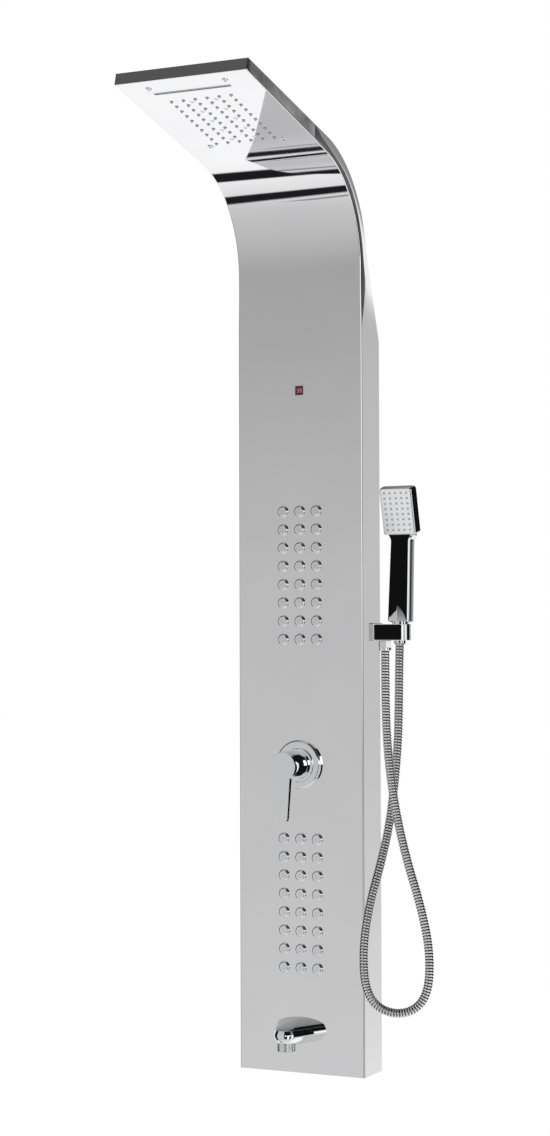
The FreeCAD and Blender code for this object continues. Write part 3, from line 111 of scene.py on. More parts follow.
class Wiring:
    """Short hand for placing and joining the nodes of one tree."""

    def __init__(self, tree: bpy.types.NodeTree) -> None:
        """Keep the tree and empty it.

        Args:
            tree: Node tree of a material, a group or the world.
        """
        self.tree = tree
        tree.nodes.clear()

    def node(self, kind: str, inputs: dict | None = None, **settings: object) -> bpy.types.Node:
        """Place one node.

        Args:
            kind: Blender's node type.
            inputs: Socket name or number to a value, or to an output socket to join.
            settings: Properties of the node.

        Returns:
            The new node.
        """
        made = self.tree.nodes.new(kind)
        for name, value in settings.items():
            setattr(made, name, value)
        self.fill(made, inputs or {})
        return made

    def fill(self, node: bpy.types.Node, inputs: dict) -> None:
        """Set inputs of a node, or join output sockets to them.

        Args:
            node: The node.
            inputs: Socket name or number to a value, or to an output socket to join.
        """
        for key, value in inputs.items():
            if isinstance(value, Socket):
                self.tree.links.new(value, node.inputs[key])
            else:
                node.inputs[key].default_value = value

    def math(self, operation: str, *values: object, clamp: bool = False) -> Socket:
        """Place a math node.

        Args:
            operation: Blender's name of the operation.
            values: Numbers or output sockets, in order.
            clamp: Keep the result between 0 and 1.

        Returns:
            Its output socket.
        """
        inputs = dict(enumerate(values))
        return self.node("ShaderNodeMath", inputs, operation=operation, use_clamp=clamp).outputs[0]

    def mix(self, factor: object, first: object, second: object) -> Socket:
        """Place a colour mix.

        Args:
            factor: Share of the second colour.
            first: Colour or output socket.
            second: Colour or output socket.

        Returns:
            Its colour output.
        """
        inputs = {0: factor, 6: first, 7: second}
        return self.node("ShaderNodeMix", inputs, data_type="RGBA").outputs[2]

    def ramp(self, factor: Socket, stops: list[tuple[float, float]]) -> Socket:
        """Place a grey ramp.

        Args:
            factor: Socket that the ramp reads.
            stops: Pairs of place and grey level.

        Returns:
            Its colour output.
        """
        made = self.node("ShaderNodeValToRGB", {0: factor})
        elements = made.color_ramp.elements
        for element, (position, level) in zip(elements, (stops[0], stops[-1])):
            element.position = position
            element.color = grey(level)
        for position, level in stops[1:-1]:
            elements.new(position).color = grey(level)
        return made.outputs[0]

    def span(self, value: Socket, low: float, high: float) -> Socket:
        """Place a share that runs from 0 at one value to 1 at another.

        Args:
            value: Socket that it reads.
            low: Value with the share 0.
            high: Value with the share 1.

        Returns:
            Its output socket.
        """
        return self.node("ShaderNodeMapRange", {0: value, 1: low, 2: high}).outputs[0]

    def noise(
        self, place: Socket, scale: object, detail: float, distortion: float = 0.0,
    ) -> Socket:
        """Place a noise.

        Args:
            place: Socket with the place.
            scale: Number or output socket.
            detail: Its detail.
            distortion: Its distortion.

        Returns:
            Its grey output.
        """
        inputs = {"Vector": place, "Scale": scale, "Detail": detail, "Distortion": distortion}
        return self.node("ShaderNodeTexNoise", inputs).outputs[0]


class Effect(Enum):
    """Shader node groups that several finishes share."""

    POLISH = "PolishMarks"
    GRAIN = "MouldGrain"
    DRIFT = "ToneDrift"
    WEAR = "EdgeWear"

    def group(self) -> bpy.types.NodeTree:
        """The effect's node group, built when it is first asked for."""
        tree = bpy.data.node_groups.get(self.value)
        if not tree:
            tree = bpy.data.node_groups.new(self.value, "ShaderNodeTree")
            builders = {
                Effect.POLISH: polish_marks, Effect.GRAIN: mould_grain, Effect.DRIFT: tone_drift,
                Effect.WEAR: edge_wear,
            }
            builders[self](tree)
        return tree


def open_group(
    tree: bpy.types.NodeTree, inputs: dict[str, object], outputs: list[str],
) -> tuple[Wiring, bpy.types.bpy_prop_collection, Socket]:
    """Name the sockets of a node group and start its wiring.

    Args:
        tree: Empty group.
        inputs: Name to default value; a tuple makes a colour socket.
        outputs: Names of the outputs; those with Color in the name are colours.

    Returns:
        Its wiring, the values given to the group, and the place on the object.
    """
    for name, value in inputs.items():
        kind = "NodeSocketColor" if isinstance(value, tuple) else "NodeSocketFloat"
        tree.interface.new_socket(name, in_out="INPUT", socket_type=kind).default_value = value
    for name in outputs:
        kind = "NodeSocketColor" if "Color" in name else "NodeSocketFloat"
        tree.interface.new_socket(name, in_out="OUTPUT", socket_type=kind)
    wiring = Wiring(tree)
    given = wiring.node("NodeGroupInput").outputs
    return wiring, given, wiring.node("ShaderNodeTexCoord").outputs["Object"]


def polish_marks(tree: bpy.types.NodeTree) -> None:
    """Hairlines, soft smudges and long waves of polished metal: a roughness and a height.

    Args:
        tree: Empty group to fill.
    """
    levels = {"Roughness": 0.05, "Smudge": 0.05, "Hairline": 0.02, "Scale": 40.0, "Wave": 0.0}
    wiring, given, place = open_group(tree, levels, ["Roughness", "Height"])
    along = wiring.node("ShaderNodeMapping", {"Vector": place, "Scale": (6.0, 6.0, 0.35)}).outputs[0]
    lines = wiring.noise(along, given["Scale"], detail=6.0)
    blots = wiring.noise(place, 9.0, detail=4.0, distortion=0.6)
    smudge = wiring.math("SUBTRACT", blots, 0.45, clamp=True)
    rough = wiring.math("MULTIPLY_ADD", smudge, given["Smudge"], given["Roughness"])
    fine = wiring.math("MULTIPLY_ADD", lines, given["Hairline"], rough)
    wave = wiring.math("MULTIPLY", wiring.noise(place, 7.0, detail=1.0), given["Wave"])
    height = wiring.math("MULTIPLY_ADD", lines, given["Hairline"], wave)
    wiring.node("NodeGroupOutput", {"Roughness": fine, "Height": height})


def mould_grain(tree: bpy.types.NodeTree) -> None:
    """Fine spark-eroded grain of moulded plastic and rubber.

    Args:
        tree: Empty group to fill.
    """
    wiring, given, place = open_group(tree, {"Scale": 900.0, "Depth": 1.0}, ["Height", "Mask"])
    cells = wiring.node("ShaderNodeTexVoronoi", {"Vector": place, "Scale": given["Scale"]})
    height = wiring.math("MULTIPLY", cells.outputs["Distance"], given["Depth"])
    wiring.node("NodeGroupOutput", {"Height": height, "Mask": wiring.noise(place, 60.0, detail=3.0)})


def tone_drift(tree: bpy.types.NodeTree) -> None:
    """Slow drift between two tones over a surface.

    Args:
        tree: Empty group to fill.
    """
    tones = {"Color": grey(1.0), "Second Color": grey(0.8), "Scale": 12.0}
    wiring, given, place = open_group(tree, tones, ["Color"])
    clouds = wiring.noise(place, given["Scale"], detail=4.0)
    share = wiring.math("MULTIPLY_ADD", clouds, 2.4, -0.7, clamp=True)
    wiring.node("NodeGroupOutput", {0: wiring.mix(share, given["Color"], given["Second Color"])})


def edge_wear(tree: bpy.types.NodeTree) -> None:
    """Mask of raised edges, broken up by noise.

    Args:
        tree: Empty group to fill.
    """
    wiring, given, place = open_group(tree, {"Width": 0.06, "Break": 160.0}, ["Mask"])
    raised = wiring.node("ShaderNodeNewGeometry").outputs["Pointiness"]
    chips = wiring.noise(place, given["Break"], detail=5.0)
    edge = wiring.math("SUBTRACT", raised, 0.5)
    sharp = wiring.math("DIVIDE", edge, given["Width"], clamp=True)
    wiring.node("NodeGroupOutput", {"Mask": wiring.math("MULTIPLY", sharp, chips)})


# ---------------------------------------------------------------- finishes
def blank_material(name: str) -> bpy.types.Material:
    """Make a material with its nodes switched on.

    Args:
        name: Its name.

    Returns:
        The material.
    """
    made = bpy.data.materials.new(name)
    made.use_nodes = True
    return made


class Coat(Wiring):
    """Wiring of a material that has one surface shader."""

    def __init__(self, tree: bpy.types.NodeTree, color: Color, roughness: float) -> None:
        """Start with a plain surface.

        Args:
            tree: Node tree of the material.
            color: Colour of the surface.
            roughness: Its roughness.
        """
        super().__init__(tree)
        surface = {"Base Color": (*color, 1), "Roughness": roughness}
        self.shader = self.node("ShaderNodeBsdfPrincipled", surface)
        self.node("ShaderNodeOutputMaterial", {0: self.shader.outputs[0]})

    def feed(self, inputs: dict) -> None:
        """Set inputs of the surface, or join output sockets to them.

        Args:
            inputs: Socket name to a value, or to an output socket to join.
        """
        self.fill(self.shader, inputs)

    def effect(self, effect: Effect, inputs: dict | None = None) -> bpy.types.bpy_prop_collection:
        """Place a shared effect.

        Args:
            effect: Which effect.
            inputs: Values of its inputs.

        Returns:
            Its outputs.
        """
        return self.node("ShaderNodeGroup", inputs, node_tree=effect.group()).outputs

    def relief(self, height: Socket, depth: float) -> None:
        """Raise the surface's normal by a height.

        Args:
            height: Height socket.
            depth: Distance in metres that a height of 1 stands for.
        """
        bump = self.node("ShaderNodeBump", {"Height": height, "Distance": depth, "Strength": 1.0})
        self.feed({"Normal": bump.outputs[0]})


@dataclass(frozen=True)
class Finish:
    """A surface finish; material() builds it once and keeps it under its name."""

    name: str
    slot: Slot
    color: Color
    roughness: float = 0.3

    def material(self) -> bpy.types.Material:
        """The finish as a material."""
        made = bpy.data.materials.get(self.name)
        if not made:
            made = blank_material(self.name)
            self.dress(Coat(made.node_tree, self.color, self.roughness))
        return made

    def dress(self, coat: Coat) -> None:
        """Add the finish's own detail.

        Args:
            coat: Wiring of the material.
        """


@dataclass(frozen=True)
class Metal(Finish):
    """Metal with polishing hairlines, smudges and a slow drift of tone."""

    second: Color = (0.8, 0.8, 0.8)
    smudge: float = 0.05
    hairline: float = 0.02
    scale: float = 40.0
    drift: float = 10.0
    depth: float = 0.00002
    wave: float = 0.0

    def dress(self, coat: Coat) -> None:
        """Add hairlines, smudges and the drift.

        Args:
            coat: Wiring of the material.
        """
        tone = coat.effect(
            Effect.DRIFT, {"Color": (*self.color, 1), "Second Color": (*self.second, 1), "Scale": self.drift},
        )
        marks = coat.effect(Effect.POLISH, {
            "Roughness": self.roughness, "Smudge": self.smudge, "Hairline": self.hairline,
            "Scale": self.scale, "Wave": self.wave,
        })
        coat.feed({"Metallic": 1.0, "Base Color": tone[0], "Roughness": marks["Roughness"]})
        coat.relief(marks["Height"], self.depth)


@dataclass(frozen=True)
class Moulded(Finish):
    """Moulded plastic or rubber with a fine grain and paler worn edges."""

    worn: Color = (0.9, 0.9, 0.9)
    grain: float = 900.0
    depth: float = 0.00006
    gloss: float = 0.5
    sheen_change: float = 0.16

    def dress(self, coat: Coat) -> None:
        """Add the grain, the worn edges and a change of sheen.

        Args:
            coat: Wiring of the material.
        """
        grain = coat.effect(Effect.GRAIN, {"Scale": self.grain})
        wear = coat.effect(Effect.WEAR)["Mask"]
        dullest = self.roughness - self.sheen_change / 2
        coat.feed({
            "Specular IOR Level": self.gloss,
            "Base Color": coat.mix(wear, (*self.color, 1), (*self.worn, 1)),
            "Roughness": coat.math("MULTIPLY_ADD", grain["Mask"], self.sheen_change, dullest),
        })
        coat.relief(grain["Height"], self.depth)


@dataclass(frozen=True)
class Clear(Finish):
    """Clear or tinted glass and lenses."""

    transmission: float = 0.8
    glow: Color | None = None
    glow_strength: float = 0.0
    refraction: float = 1.49

    def dress(self, coat: Coat) -> None:
        """Make it clear, with faint smears, and let it glow where it has a lamp behind.

        Args:
            coat: Wiring of the material.
        """
        marks = coat.effect(Effect.POLISH, {"Roughness": self.roughness, "Smudge": 0.08, "Hairline": 0.01})
        coat.feed({
            "Transmission Weight": self.transmission, "IOR": self.refraction, "Roughness": marks["Roughness"],
        })
        if self.glow:
            coat.feed({"Emission Color": (*self.glow, 1), "Emission Strength": self.glow_strength})


@dataclass(frozen=True)
class Board(Finish):
    """Circuit board lacquer with copper tracks."""

    tracks: Color = (0.55, 0.33, 0.12)

    def dress(self, coat: Coat) -> None:
        """Draw the tracks.

        Args:
            coat: Wiring of the material.
        """
        place = coat.node("ShaderNodeTexCoord").outputs["Object"]
        lacquer = (*self.color, 1)
        bricks = coat.node("ShaderNodeTexBrick", {
            "Vector": place, "Color1": lacquer, "Color2": lacquer, "Mortar": (*self.tracks, 1), "Scale": 60.0,
            "Mortar Size": 0.03,
        })
        coat.feed({"Base Color": bricks.outputs["Color"]})


MIRROR = Metal(
    "mirror_steel", Slot.PANEL, (0.93, 0.93, 0.94), 0.03, second=(0.90, 0.90, 0.915), smudge=0.04,
    hairline=0.01, wave=9.0,
)
# Near-black steel for the strip between the front fold and the side's crease: a painted dark reflection, not
# a finish of the sheet.
LEAF_PAINTED_REFLECTION = Metal(
    "leaf_painted_reflection", Slot.PANEL, (0.10, 0.10, 0.105), 0.10, second=(0.03, 0.03, 0.032), drift=26.0,
)
# Bright steel drifting to dark grey on the head's sides: painted bright and dark reflection bands.
HEAD_SIDE_PAINTED_REFLECTION = Metal(
    "head_side_painted_reflection", Slot.PANEL, (0.93, 0.93, 0.94), 0.08, second=(0.30, 0.30, 0.31), drift=22.0,
)
COVER_STEEL = Metal(
    "cover_steel", Slot.PANEL, (0.80, 0.80, 0.81), 0.16, second=(0.74, 0.74, 0.755), smudge=0.15,
    hairline=0.1,
)
INNER_STEEL = Metal(
    "pressed_steel", Slot.INNER, (0.62, 0.62, 0.63), 0.30, second=(0.55, 0.55, 0.57), smudge=0.2,
    hairline=0.2,
)
CHROME = Metal(
    "bright_chrome", Slot.CHROME, (0.93, 0.935, 0.95), 0.03, second=(0.88, 0.89, 0.91), hairline=0.01,
)
SATIN_CHROME = Metal(
    "satin_chrome", Slot.CHROME, (0.72, 0.725, 0.74), 0.14, second=(0.66, 0.67, 0.69), smudge=0.1,
    hairline=0.04,
)
# Darker chrome for the spout's sloping top: a painted grey reflection.
CROWN_PAINTED_REFLECTION = Metal(
    "crown_painted_reflection", Slot.CHROME, (0.52, 0.525, 0.53), 0.10, second=(0.46, 0.465, 0.47), smudge=0.06,
)
SOFT_CHROME = Metal(
    "soft_chrome", Slot.CHROME, (0.88, 0.885, 0.89), 0.34, second=(0.80, 0.805, 0.81), smudge=0.08,
)
HOSE_METAL = Metal(
    "hose_ribs", Slot.HOSE, (0.95, 0.95, 0.96), 0.14, second=(0.88, 0.885, 0.89), drift=60.0,
)
# Dark metal for the hose's groove rings: painted shade between the ribs.
HOSE_GROOVE_PAINTED_SHADE = Metal(
    "hose_groove_painted_shade", Slot.HOSE, (0.15, 0.15, 0.152), 0.30, second=(0.09, 0.09, 0.09), drift=60.0,
)
BRASS = Metal(
    "cast_brass", Slot.BRASS, (0.72, 0.53, 0.26), 0.28, second=(0.56, 0.39, 0.17), smudge=0.3,
    hairline=0.1, drift=30.0,
)
BLACK = Moulded(
    "piano_black", Slot.BLACK, (0.001, 0.001, 0.0012), 0.10, worn=(0.003, 0.003, 0.003), depth=0.00001,
    gloss=0.09,
)
WHITE = Moulded("moulded_white", Slot.WHITE, (0.74, 0.74, 0.73), 0.36, worn=(0.82, 0.82, 0.81))
FACE = Moulded("face_plastic", Slot.WHITE, (0.74, 0.745, 0.75), 0.28, worn=(0.82, 0.82, 0.83))
GREY = Moulded("moulded_grey", Slot.GREY, (0.22, 0.22, 0.23), 0.45, worn=(0.34, 0.34, 0.35))
PIPE = Moulded("moulded_pipe", Slot.PIPE, (0.60, 0.61, 0.62), 0.40, worn=(0.7, 0.7, 0.7))
NOZZLE = Moulded(
    "soft_nozzle", Slot.NOZZLE, (0.40, 0.405, 0.41), 0.45, worn=(0.6, 0.6, 0.61), grain=1600.0,
)
SEAL = Moulded("soft_seal", Slot.SEAL, (0.03, 0.03, 0.032), 0.65, worn=(0.09, 0.09, 0.09), grain=700.0)
LENS = Clear("lamp_lens", Slot.LENS, (0.92, 0.94, 0.97), 0.12, transmission=0.5)
WINDOW = Clear("display_window", Slot.GLASS, (0.035, 0.008, 0.011), 0.06, transmission=0.0)
DIGIT = Clear(
    "display_digit", Slot.GLASS, (0.30, 0.07, 0.08), 0.3, transmission=0.0, glow=(1.0, 0.30, 0.33),
    glow_strength=0.30,
)
BOARD = Board("circuit_board", Slot.BOARD, (0.02, 0.16, 0.06), 0.4)


# ---------------------------------------------------------------- mesh making
def placed(name: str, data: bpy.types.ID) -> bpy.types.Object:
    """Make an object and put it in the scene.

    Args:
        name: Its name.
        data: Its mesh, curve, lamp or camera.

    Returns:
        The object.
    """
    made = bpy.data.objects.new(name, data)
    bpy.context.scene.collection.objects.link(made)
    return made


def as_built(made: bpy.types.Object) -> bpy.types.Mesh:
    """Mesh of an object as its modifiers leave it.

    Args:
        made: The object.

    Returns:
        A mesh of its own.
    """
    bpy.context.view_layer.update()
    graph = bpy.context.evaluated_depsgraph_get()
    return bpy.data.meshes.new_from_object(made.evaluated_get(graph))


def circle(radius: float, along: float, sides: int) -> Loop:
    """Round loop about the Z axis.

    Args:
        radius: Its radius.
        along: Its Z.
        sides: Number of points.

    Returns:
        The loop.
    """
    angles = [2 * math.pi * index / sides for index in range(sides)]
    return [Vector((radius * math.cos(angle), radius * math.sin(angle), along)) for angle in angles]


class Piece:
    """Faces of one piece, gathered in millimetres before they become a mesh."""

    def __init__(self, name: str, *finishes: Finish) -> None:
        """Start an empty piece.

        Args:
            name: Name of its object.
            finishes: Its finishes, in the order of the faces' finish numbers.
        """
        self.name = name
        self.finishes = finishes
        self.points: list[Vector] = []
        self.faces: list[tuple[int, ...]] = []
        self.marks: list[int] = []

    def face(self, indices: list[int], mark: int = 0) -> None:
        """Add one face.

        Args:
            indices: Numbers of its points.
            mark: Finish number.
        """
        self.faces.append(tuple(indices))
        self.marks.append(mark)

    def loft(
        self, loops: list[Loop], place: Matrix | None = None, round_loops: bool = True,
        ring: bool = False, caps: bool = True, mark: int = 0,
    ) -> None:
        """Join loops of equally many points with faces.

        Args:
            loops: Loops of points.
            place: Placement in the panel's frame.
            round_loops: Each loop is closed.
            ring: The last loop joins the first.
            caps: Close the first and the last loop.
            mark: Finish number.
        """
        start = len(self.points)
        count = len(loops[0])
        for loop in loops:
            self.points.extend(place @ point if place else point for point in loop)
        spans = len(loops) if ring else len(loops) - 1
        for span in range(spans):
            low = start + span * count
            high = start + (span + 1) % len(loops) * count
            for index in range(count if round_loops else count - 1):
                after = (index + 1) % count
                self.face([low + index, low + after, high + after, high + index], mark)
        if caps and round_loops and not ring:
            last = start + (len(loops) - 1) * count
            self.face([start + index for index in reversed(range(count))], mark)
            self.face([last + index for index in range(count)], mark)

    def turned(
        self, profile: list[Flat], place: Matrix, sides: int = 64, ring: bool = False, mark: int = 0,
    ) -> None:
        """Turn a profile of (radius, distance along the axis) round the placement's Z axis.

        Args:
            profile: The profile.
            place: Placement in the panel's frame.
            sides: Number of sides.
            ring: The profile is closed, as of a ring.
            mark: Finish number.
        """
        loops = [circle(radius, along, sides) for radius, along in profile]
        self.loft(loops, place, ring=ring, mark=mark)

    def block(self, low: Vector, high: Vector, place: Matrix | None = None, mark: int = 0) -> None:
        """Add a block between two corners, to be softened by the piece's edge radius.

        Args:
            low: Lowest corner.
            high: Highest corner.
            place: Placement in the panel's frame.
            mark: Finish number.
        """
        loops = []
        for z in (low.z, high.z):
            corners = [(low.x, low.y), (high.x, low.y), (high.x, high.y), (low.x, high.y)]
            loops.append([Vector((x, y, z)) for x, y in corners])
        self.loft(loops, place, mark=mark)

    def to_object(self, edge: float = 0.0, smooth: float = 32.0) -> bpy.types.Object:
        """Make the piece's object, in the frame's metres.

        Args:
            edge: Radius of the rounding of its sharp edges, in millimetres.
            smooth: Largest angle that is shaded smooth, in degrees.

        Returns:
            The object.
        """
        mesh = bpy.data.meshes.new(self.name)
        shift = Vector((0, 0, ORIGIN_HEIGHT))
        mesh.from_pydata([(point - shift) * MILLIMETRE for point in self.points], [], self.faces)
        for finish in self.finishes:
            mesh.materials.append(finish.material())
        mesh.polygons.foreach_set("material_index", self.marks)
        bm = bmesh.new()
        bm.from_mesh(mesh)
        bmesh.ops.recalc_face_normals(bm, faces=bm.faces)
        bm.to_mesh(mesh)
        bm.free()
        mesh.shade_smooth()
        mesh.set_sharp_from_angle(angle=math.radians(smooth))
        made = placed(self.name, mesh)
        if edge:
            rounding = made.modifiers.new("edge", "BEVEL")
            rounding.width = edge * MILLIMETRE
            rounding.segments = 3
            rounding.limit_method = "ANGLE"
            rounding.angle_limit = math.radians(smooth)
            rounding.harden_normals = True
        normals = made.modifiers.new("normals", "WEIGHTED_NORMAL")
        normals.keep_sharp = True
        return made

    def dress(self, body: Body, *nodes: str, **options: object) -> bpy.types.Object:
        """Make the piece's object, let it ride and let it stand for CAD nodes.

        Args:
            body: Body that it rides on.
            nodes: CAD nodes that it replaces.
            options: Options of to_object.

        Returns:
            The object.
        """
        made = self.to_object(**options)
        settle(made, body, self.finishes[0].slot, *nodes)
        return made


def settle(made: bpy.types.Object, body: Body, slot: Slot, *nodes: str) -> None:
    """Let a piece ride on a body, and name the CAD nodes that it stands for.

    The piece leaves no mirror image in the polished metal round it.

    Args:
        made: The piece's object.
        body: Body that it rides on.
        slot: Material slot of the record; not used.
        nodes: CAD nodes that it replaces.
    """
    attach(made, body.value)
    made.visible_glossy = False
    if nodes:
        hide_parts(*nodes)
    LOG.info("%s rides on %s, for %s", made.name, body.value, ", ".join(nodes) or "itself")


def facing(origin: Place, axis: Place) -> Matrix:
    """Placement whose Z axis points along an axis, and whose X axis stays level.

    Args:
        origin: Its origin in the panel's frame.
        axis: Direction of its Z axis.

    Returns:
        The placement.
    """
    turn = Vector((0, 0, 1)).rotation_difference(Vector(axis)).to_matrix().to_4x4()
    if axis[2] < -0.999:
        turn = Matrix.Rotation(math.pi, 4, "X")
    return Matrix.Translation(Vector(origin)) @ turn


def tilted(origin: Place, degrees: float) -> Matrix:
    """Placement turned about the X axis.

    Args:
        origin: Its origin.
        degrees: Turn about X.

    Returns:
        The placement.
    """
    return Matrix.Translation(Vector(origin)) @ Matrix.Rotation(math.radians(degrees), 4, "X")


def rounded_loop(width: float, depth: float, corner: float, height: float, steps: int = 6) -> Loop:
    """Loop of a rectangle with round corners, centred on the Z axis.

    Args:
        width: Size along X.
        depth: Size along Y.
        corner: Corner radius.
        height: Its Z.
        steps: Points of each corner, less one.

    Returns:
        The loop.
    """
    loop = []
    for quarter, (side_x, side_y) in enumerate(((1, 1), (-1, 1), (-1, -1), (1, -1))):
        for step in range(steps + 1):
            angle = math.pi / 2 * (quarter + step / steps)
            x = side_x * (width / 2 - corner) + corner * math.cos(angle)
            y = side_y * (depth / 2 - corner) + corner * math.sin(angle)
            loop.append(Vector((x, y, height)))
    return loop


def arc_profile(centre: Flat, radius: float, start: float, end: float, steps: int) -> list[Flat]:
    """Points of an arc in a profile.

    Args:
        centre: Its centre.
        radius: Its radius.
        start: First angle in degrees.
        end: Last angle in degrees.
        steps: Number of chords.

    Returns:
        The points.
    """
    points = []
    for step in range(steps + 1):
        angle = math.radians(start + (end - start) * step / steps)
        points.append((centre[0] + radius * math.cos(angle), centre[1] + radius * math.sin(angle)))
    return points


def carve(made: bpy.types.Object, cutter: Piece) -> None:
    """Cut a piece out of another.

    Args:
        made: Object to cut.
        cutter: Piece to take away; its object is not kept.
    """
    tool = cutter.to_object()
    cut = made.modifiers.new("cut", "BOOLEAN")
    cut.operation = "DIFFERENCE"
    cut.solver = "EXACT"
    cut.object = tool
    mesh = as_built(made)
    made.modifiers.clear()
    made.data = mesh
    bpy.data.objects.remove(tool)


def thicken(made: bpy.types.Object, sheet: float, even: bool = False) -> None:
    """Give a surface the thickness of its sheet, on its inner side.

    Args:
        made: The surface.
        sheet: Thickness in millimetres.
        even: Keep the thickness even at the folds.
    """
    shell = made.modifiers.new("sheet", "SOLIDIFY")
    shell.thickness = sheet * MILLIMETRE
    shell.offset = -1.0
    shell.use_even_offset = even


def grid(columns: int, rows: int) -> Iterator[tuple[float, int]]:
    """Count through a grid.

    Args:
        columns: Number of columns.
        rows: Number of rows.

    Yields:
        Column number from the middle, and row number.
    """
    for column in range(columns):
        for row in range(rows):
            yield column - (columns - 1) / 2, row


# ---------------------------------------------------------------- outline of the column
@dataclass(frozen=True)
class Outline:
    """Side outline of the column: sizes of the bent sheet and points on it."""

    half_width: float = 100.0
    depth: float = 63.4
    sheet: float = 1.5
    fold: float = 2.0
    return_lip: float = 12.0
    neck_start: float = 1169.6
    neck_radius: float = 153.0
    neck_thickness: float = 21.0
    head_slope: float = 13.85
    head_reach: float = 430.7
    lip_height: float = 17.0
    gusset_foot: float = 1069.0
    gusset_top_angle: float = 8.0
    front_levels: tuple[float, ...] = (0, 60, 150, 300, 450, 600, 750, 900, 1000, 1060)
    gusset_steps: int = 8
    neck_steps: int = 44
    head_steps: int = 12
    head_crease: float = 60.0
    first_head_crease: float = 13.0
    slot_width: float = 117.0
    slot_opening: float = 5.0
    slot_from_lip: float = 37.0

    @property
    def front(self) -> float:
        """Y of the front face."""
        return -self.depth

    def on_front(self, x: float, height: float) -> Matrix:
        """Placement on the front face, its Z axis out of the panel.

        Args:
            x: Place across.
            height: Height above the bottom edge.

        Returns:
            The placement.
        """
        return facing((x, self.front, height), OUTWARD)

    def neck(self, radius: float, degrees: float) -> Vector:
        """Point of an arc round the neck's centre.

        Args:
            radius: Its radius.
            degrees: Angle up the neck.

        Returns:
            The point, with X 0.
        """
        angle = math.radians(degrees)
        centre_y = self.front - self.neck_radius
        return Vector((0, centre_y + radius * math.cos(angle), self.neck_start + radius * math.sin(angle)))

    def head_start(self) -> Vector:
        """Point where the neck's arc meets the head's underside."""
        return self.neck(self.neck_radius, 90 - self.head_slope)

    def head_place(self) -> Matrix:
        """Placement of the head: across, behind the lip, above the underside."""
        start = self.head_start()
        rise = (self.head_reach + start.y) * math.tan(math.radians(self.head_slope))
        return tilted((0, -self.head_reach, start.z + rise), -self.head_slope)

    def head(self, from_lip: float, above: float) -> Vector:
        """Point of the head, seen from the side.

        Args:
            from_lip: Distance behind the lip.
            above: Distance above the underside.

        Returns:
            The point, with X 0.
        """
        return self.head_place() @ Vector((0, from_lip, above))

    def touch_angle(self) -> float:
        """Angle up the neck where the head's top line touches the neck's back."""
        outer = self.neck_radius + self.neck_thickness
        across = self.head(0, self.lip_height) - self.neck(0, 0)
        return math.degrees(math.atan2(across.z, across.y) - math.acos(outer / across.length))

    def stations(self) -> list[tuple[Vector, Vector, Vector, float]]:
        """Matching points of the front and back outlines, from the foot to the lip.

        Returns:
            Front point, inward direction, back point and distance of the crease from the front.
        """
        inward = Vector((0, 1, 0))
        outer = self.neck_radius + self.neck_thickness
        found = []
        for height in (*self.front_levels, self.gusset_foot):
            found.append((Vector((0, self.front, height)), inward, Vector((0, 0, height)), 0.0))
        gusset_top = self.neck(outer, self.gusset_top_angle)
        foot = Vector((0, 0, self.gusset_foot))
        for step in range(1, self.gusset_steps):
            share = step / self.gusset_steps
            height = self.gusset_foot + share * (self.neck_start - self.gusset_foot)
            width = read_table(CREASE_LOW, height)
            found.append((Vector((0, self.front, height)), inward, foot.lerp(gusset_top, share), width))
        end_angle = 90 - self.head_slope
        touch = self.touch_angle()
        for step in range(self.neck_steps + 1):
            share = step / self.neck_steps
            angle = end_angle * share
            front_point = self.neck(self.neck_radius, angle)
            out = self.neck(1, angle) - self.neck(0, 0)
            back = self.neck(outer, self.gusset_top_angle + (touch - self.gusset_top_angle) * share)
            found.append((front_point, out, back, read_table(CREASE_NECK, angle)))
        up = self.head(0, 1) - self.head(0, 0)
        head_back = self.neck(outer, touch)
        lip_top = self.head(0, self.lip_height)
        for step in range(1, self.head_steps + 1):
            share = step / self.head_steps
            front_point = self.head_start().lerp(self.head(0, 0), share)
            width = self.head_crease if step > 1 else self.first_head_crease
            found.append((front_point, up, head_back.lerp(lip_top, share), width))
        return found


# Distance of the side's crease from the front edge: by height, and by degrees up the neck.
CREASE_LOW = (
    (1088.0, 0.0), (1098.0, 6.4), (1112.5, 9.4), (1127.0, 14.0), (1143.0, 17.0), (1169.6, 15.0),
)
CREASE_NECK = (
    (0.0, 15.0), (4.0, 13.4), (18.0, 12.2), (37.0, 12.0), (46.0, 11.1), (56.0, 8.6), (62.0, 7.6),
    (68.0, 7.2), (74.0, 8.7), (78.0, 10.8),
)
PANEL = Outline()


def read_table(table: tuple[Flat, ...], at: float) -> float:
    """Value between the rows of a table.

    Args:
        table: Rows of place and value, in order.
        at: Place to read.

    Returns:
        The value, that of the nearest end outside the table.
    """
    if at <= table[0][0]:
        return table[0][1]
    for (low, first), (high, second) in zip(table, table[1:]):
        if at <= high:
            return first + (second - first) * (at - low) / (high - low)
    return table[-1][1]


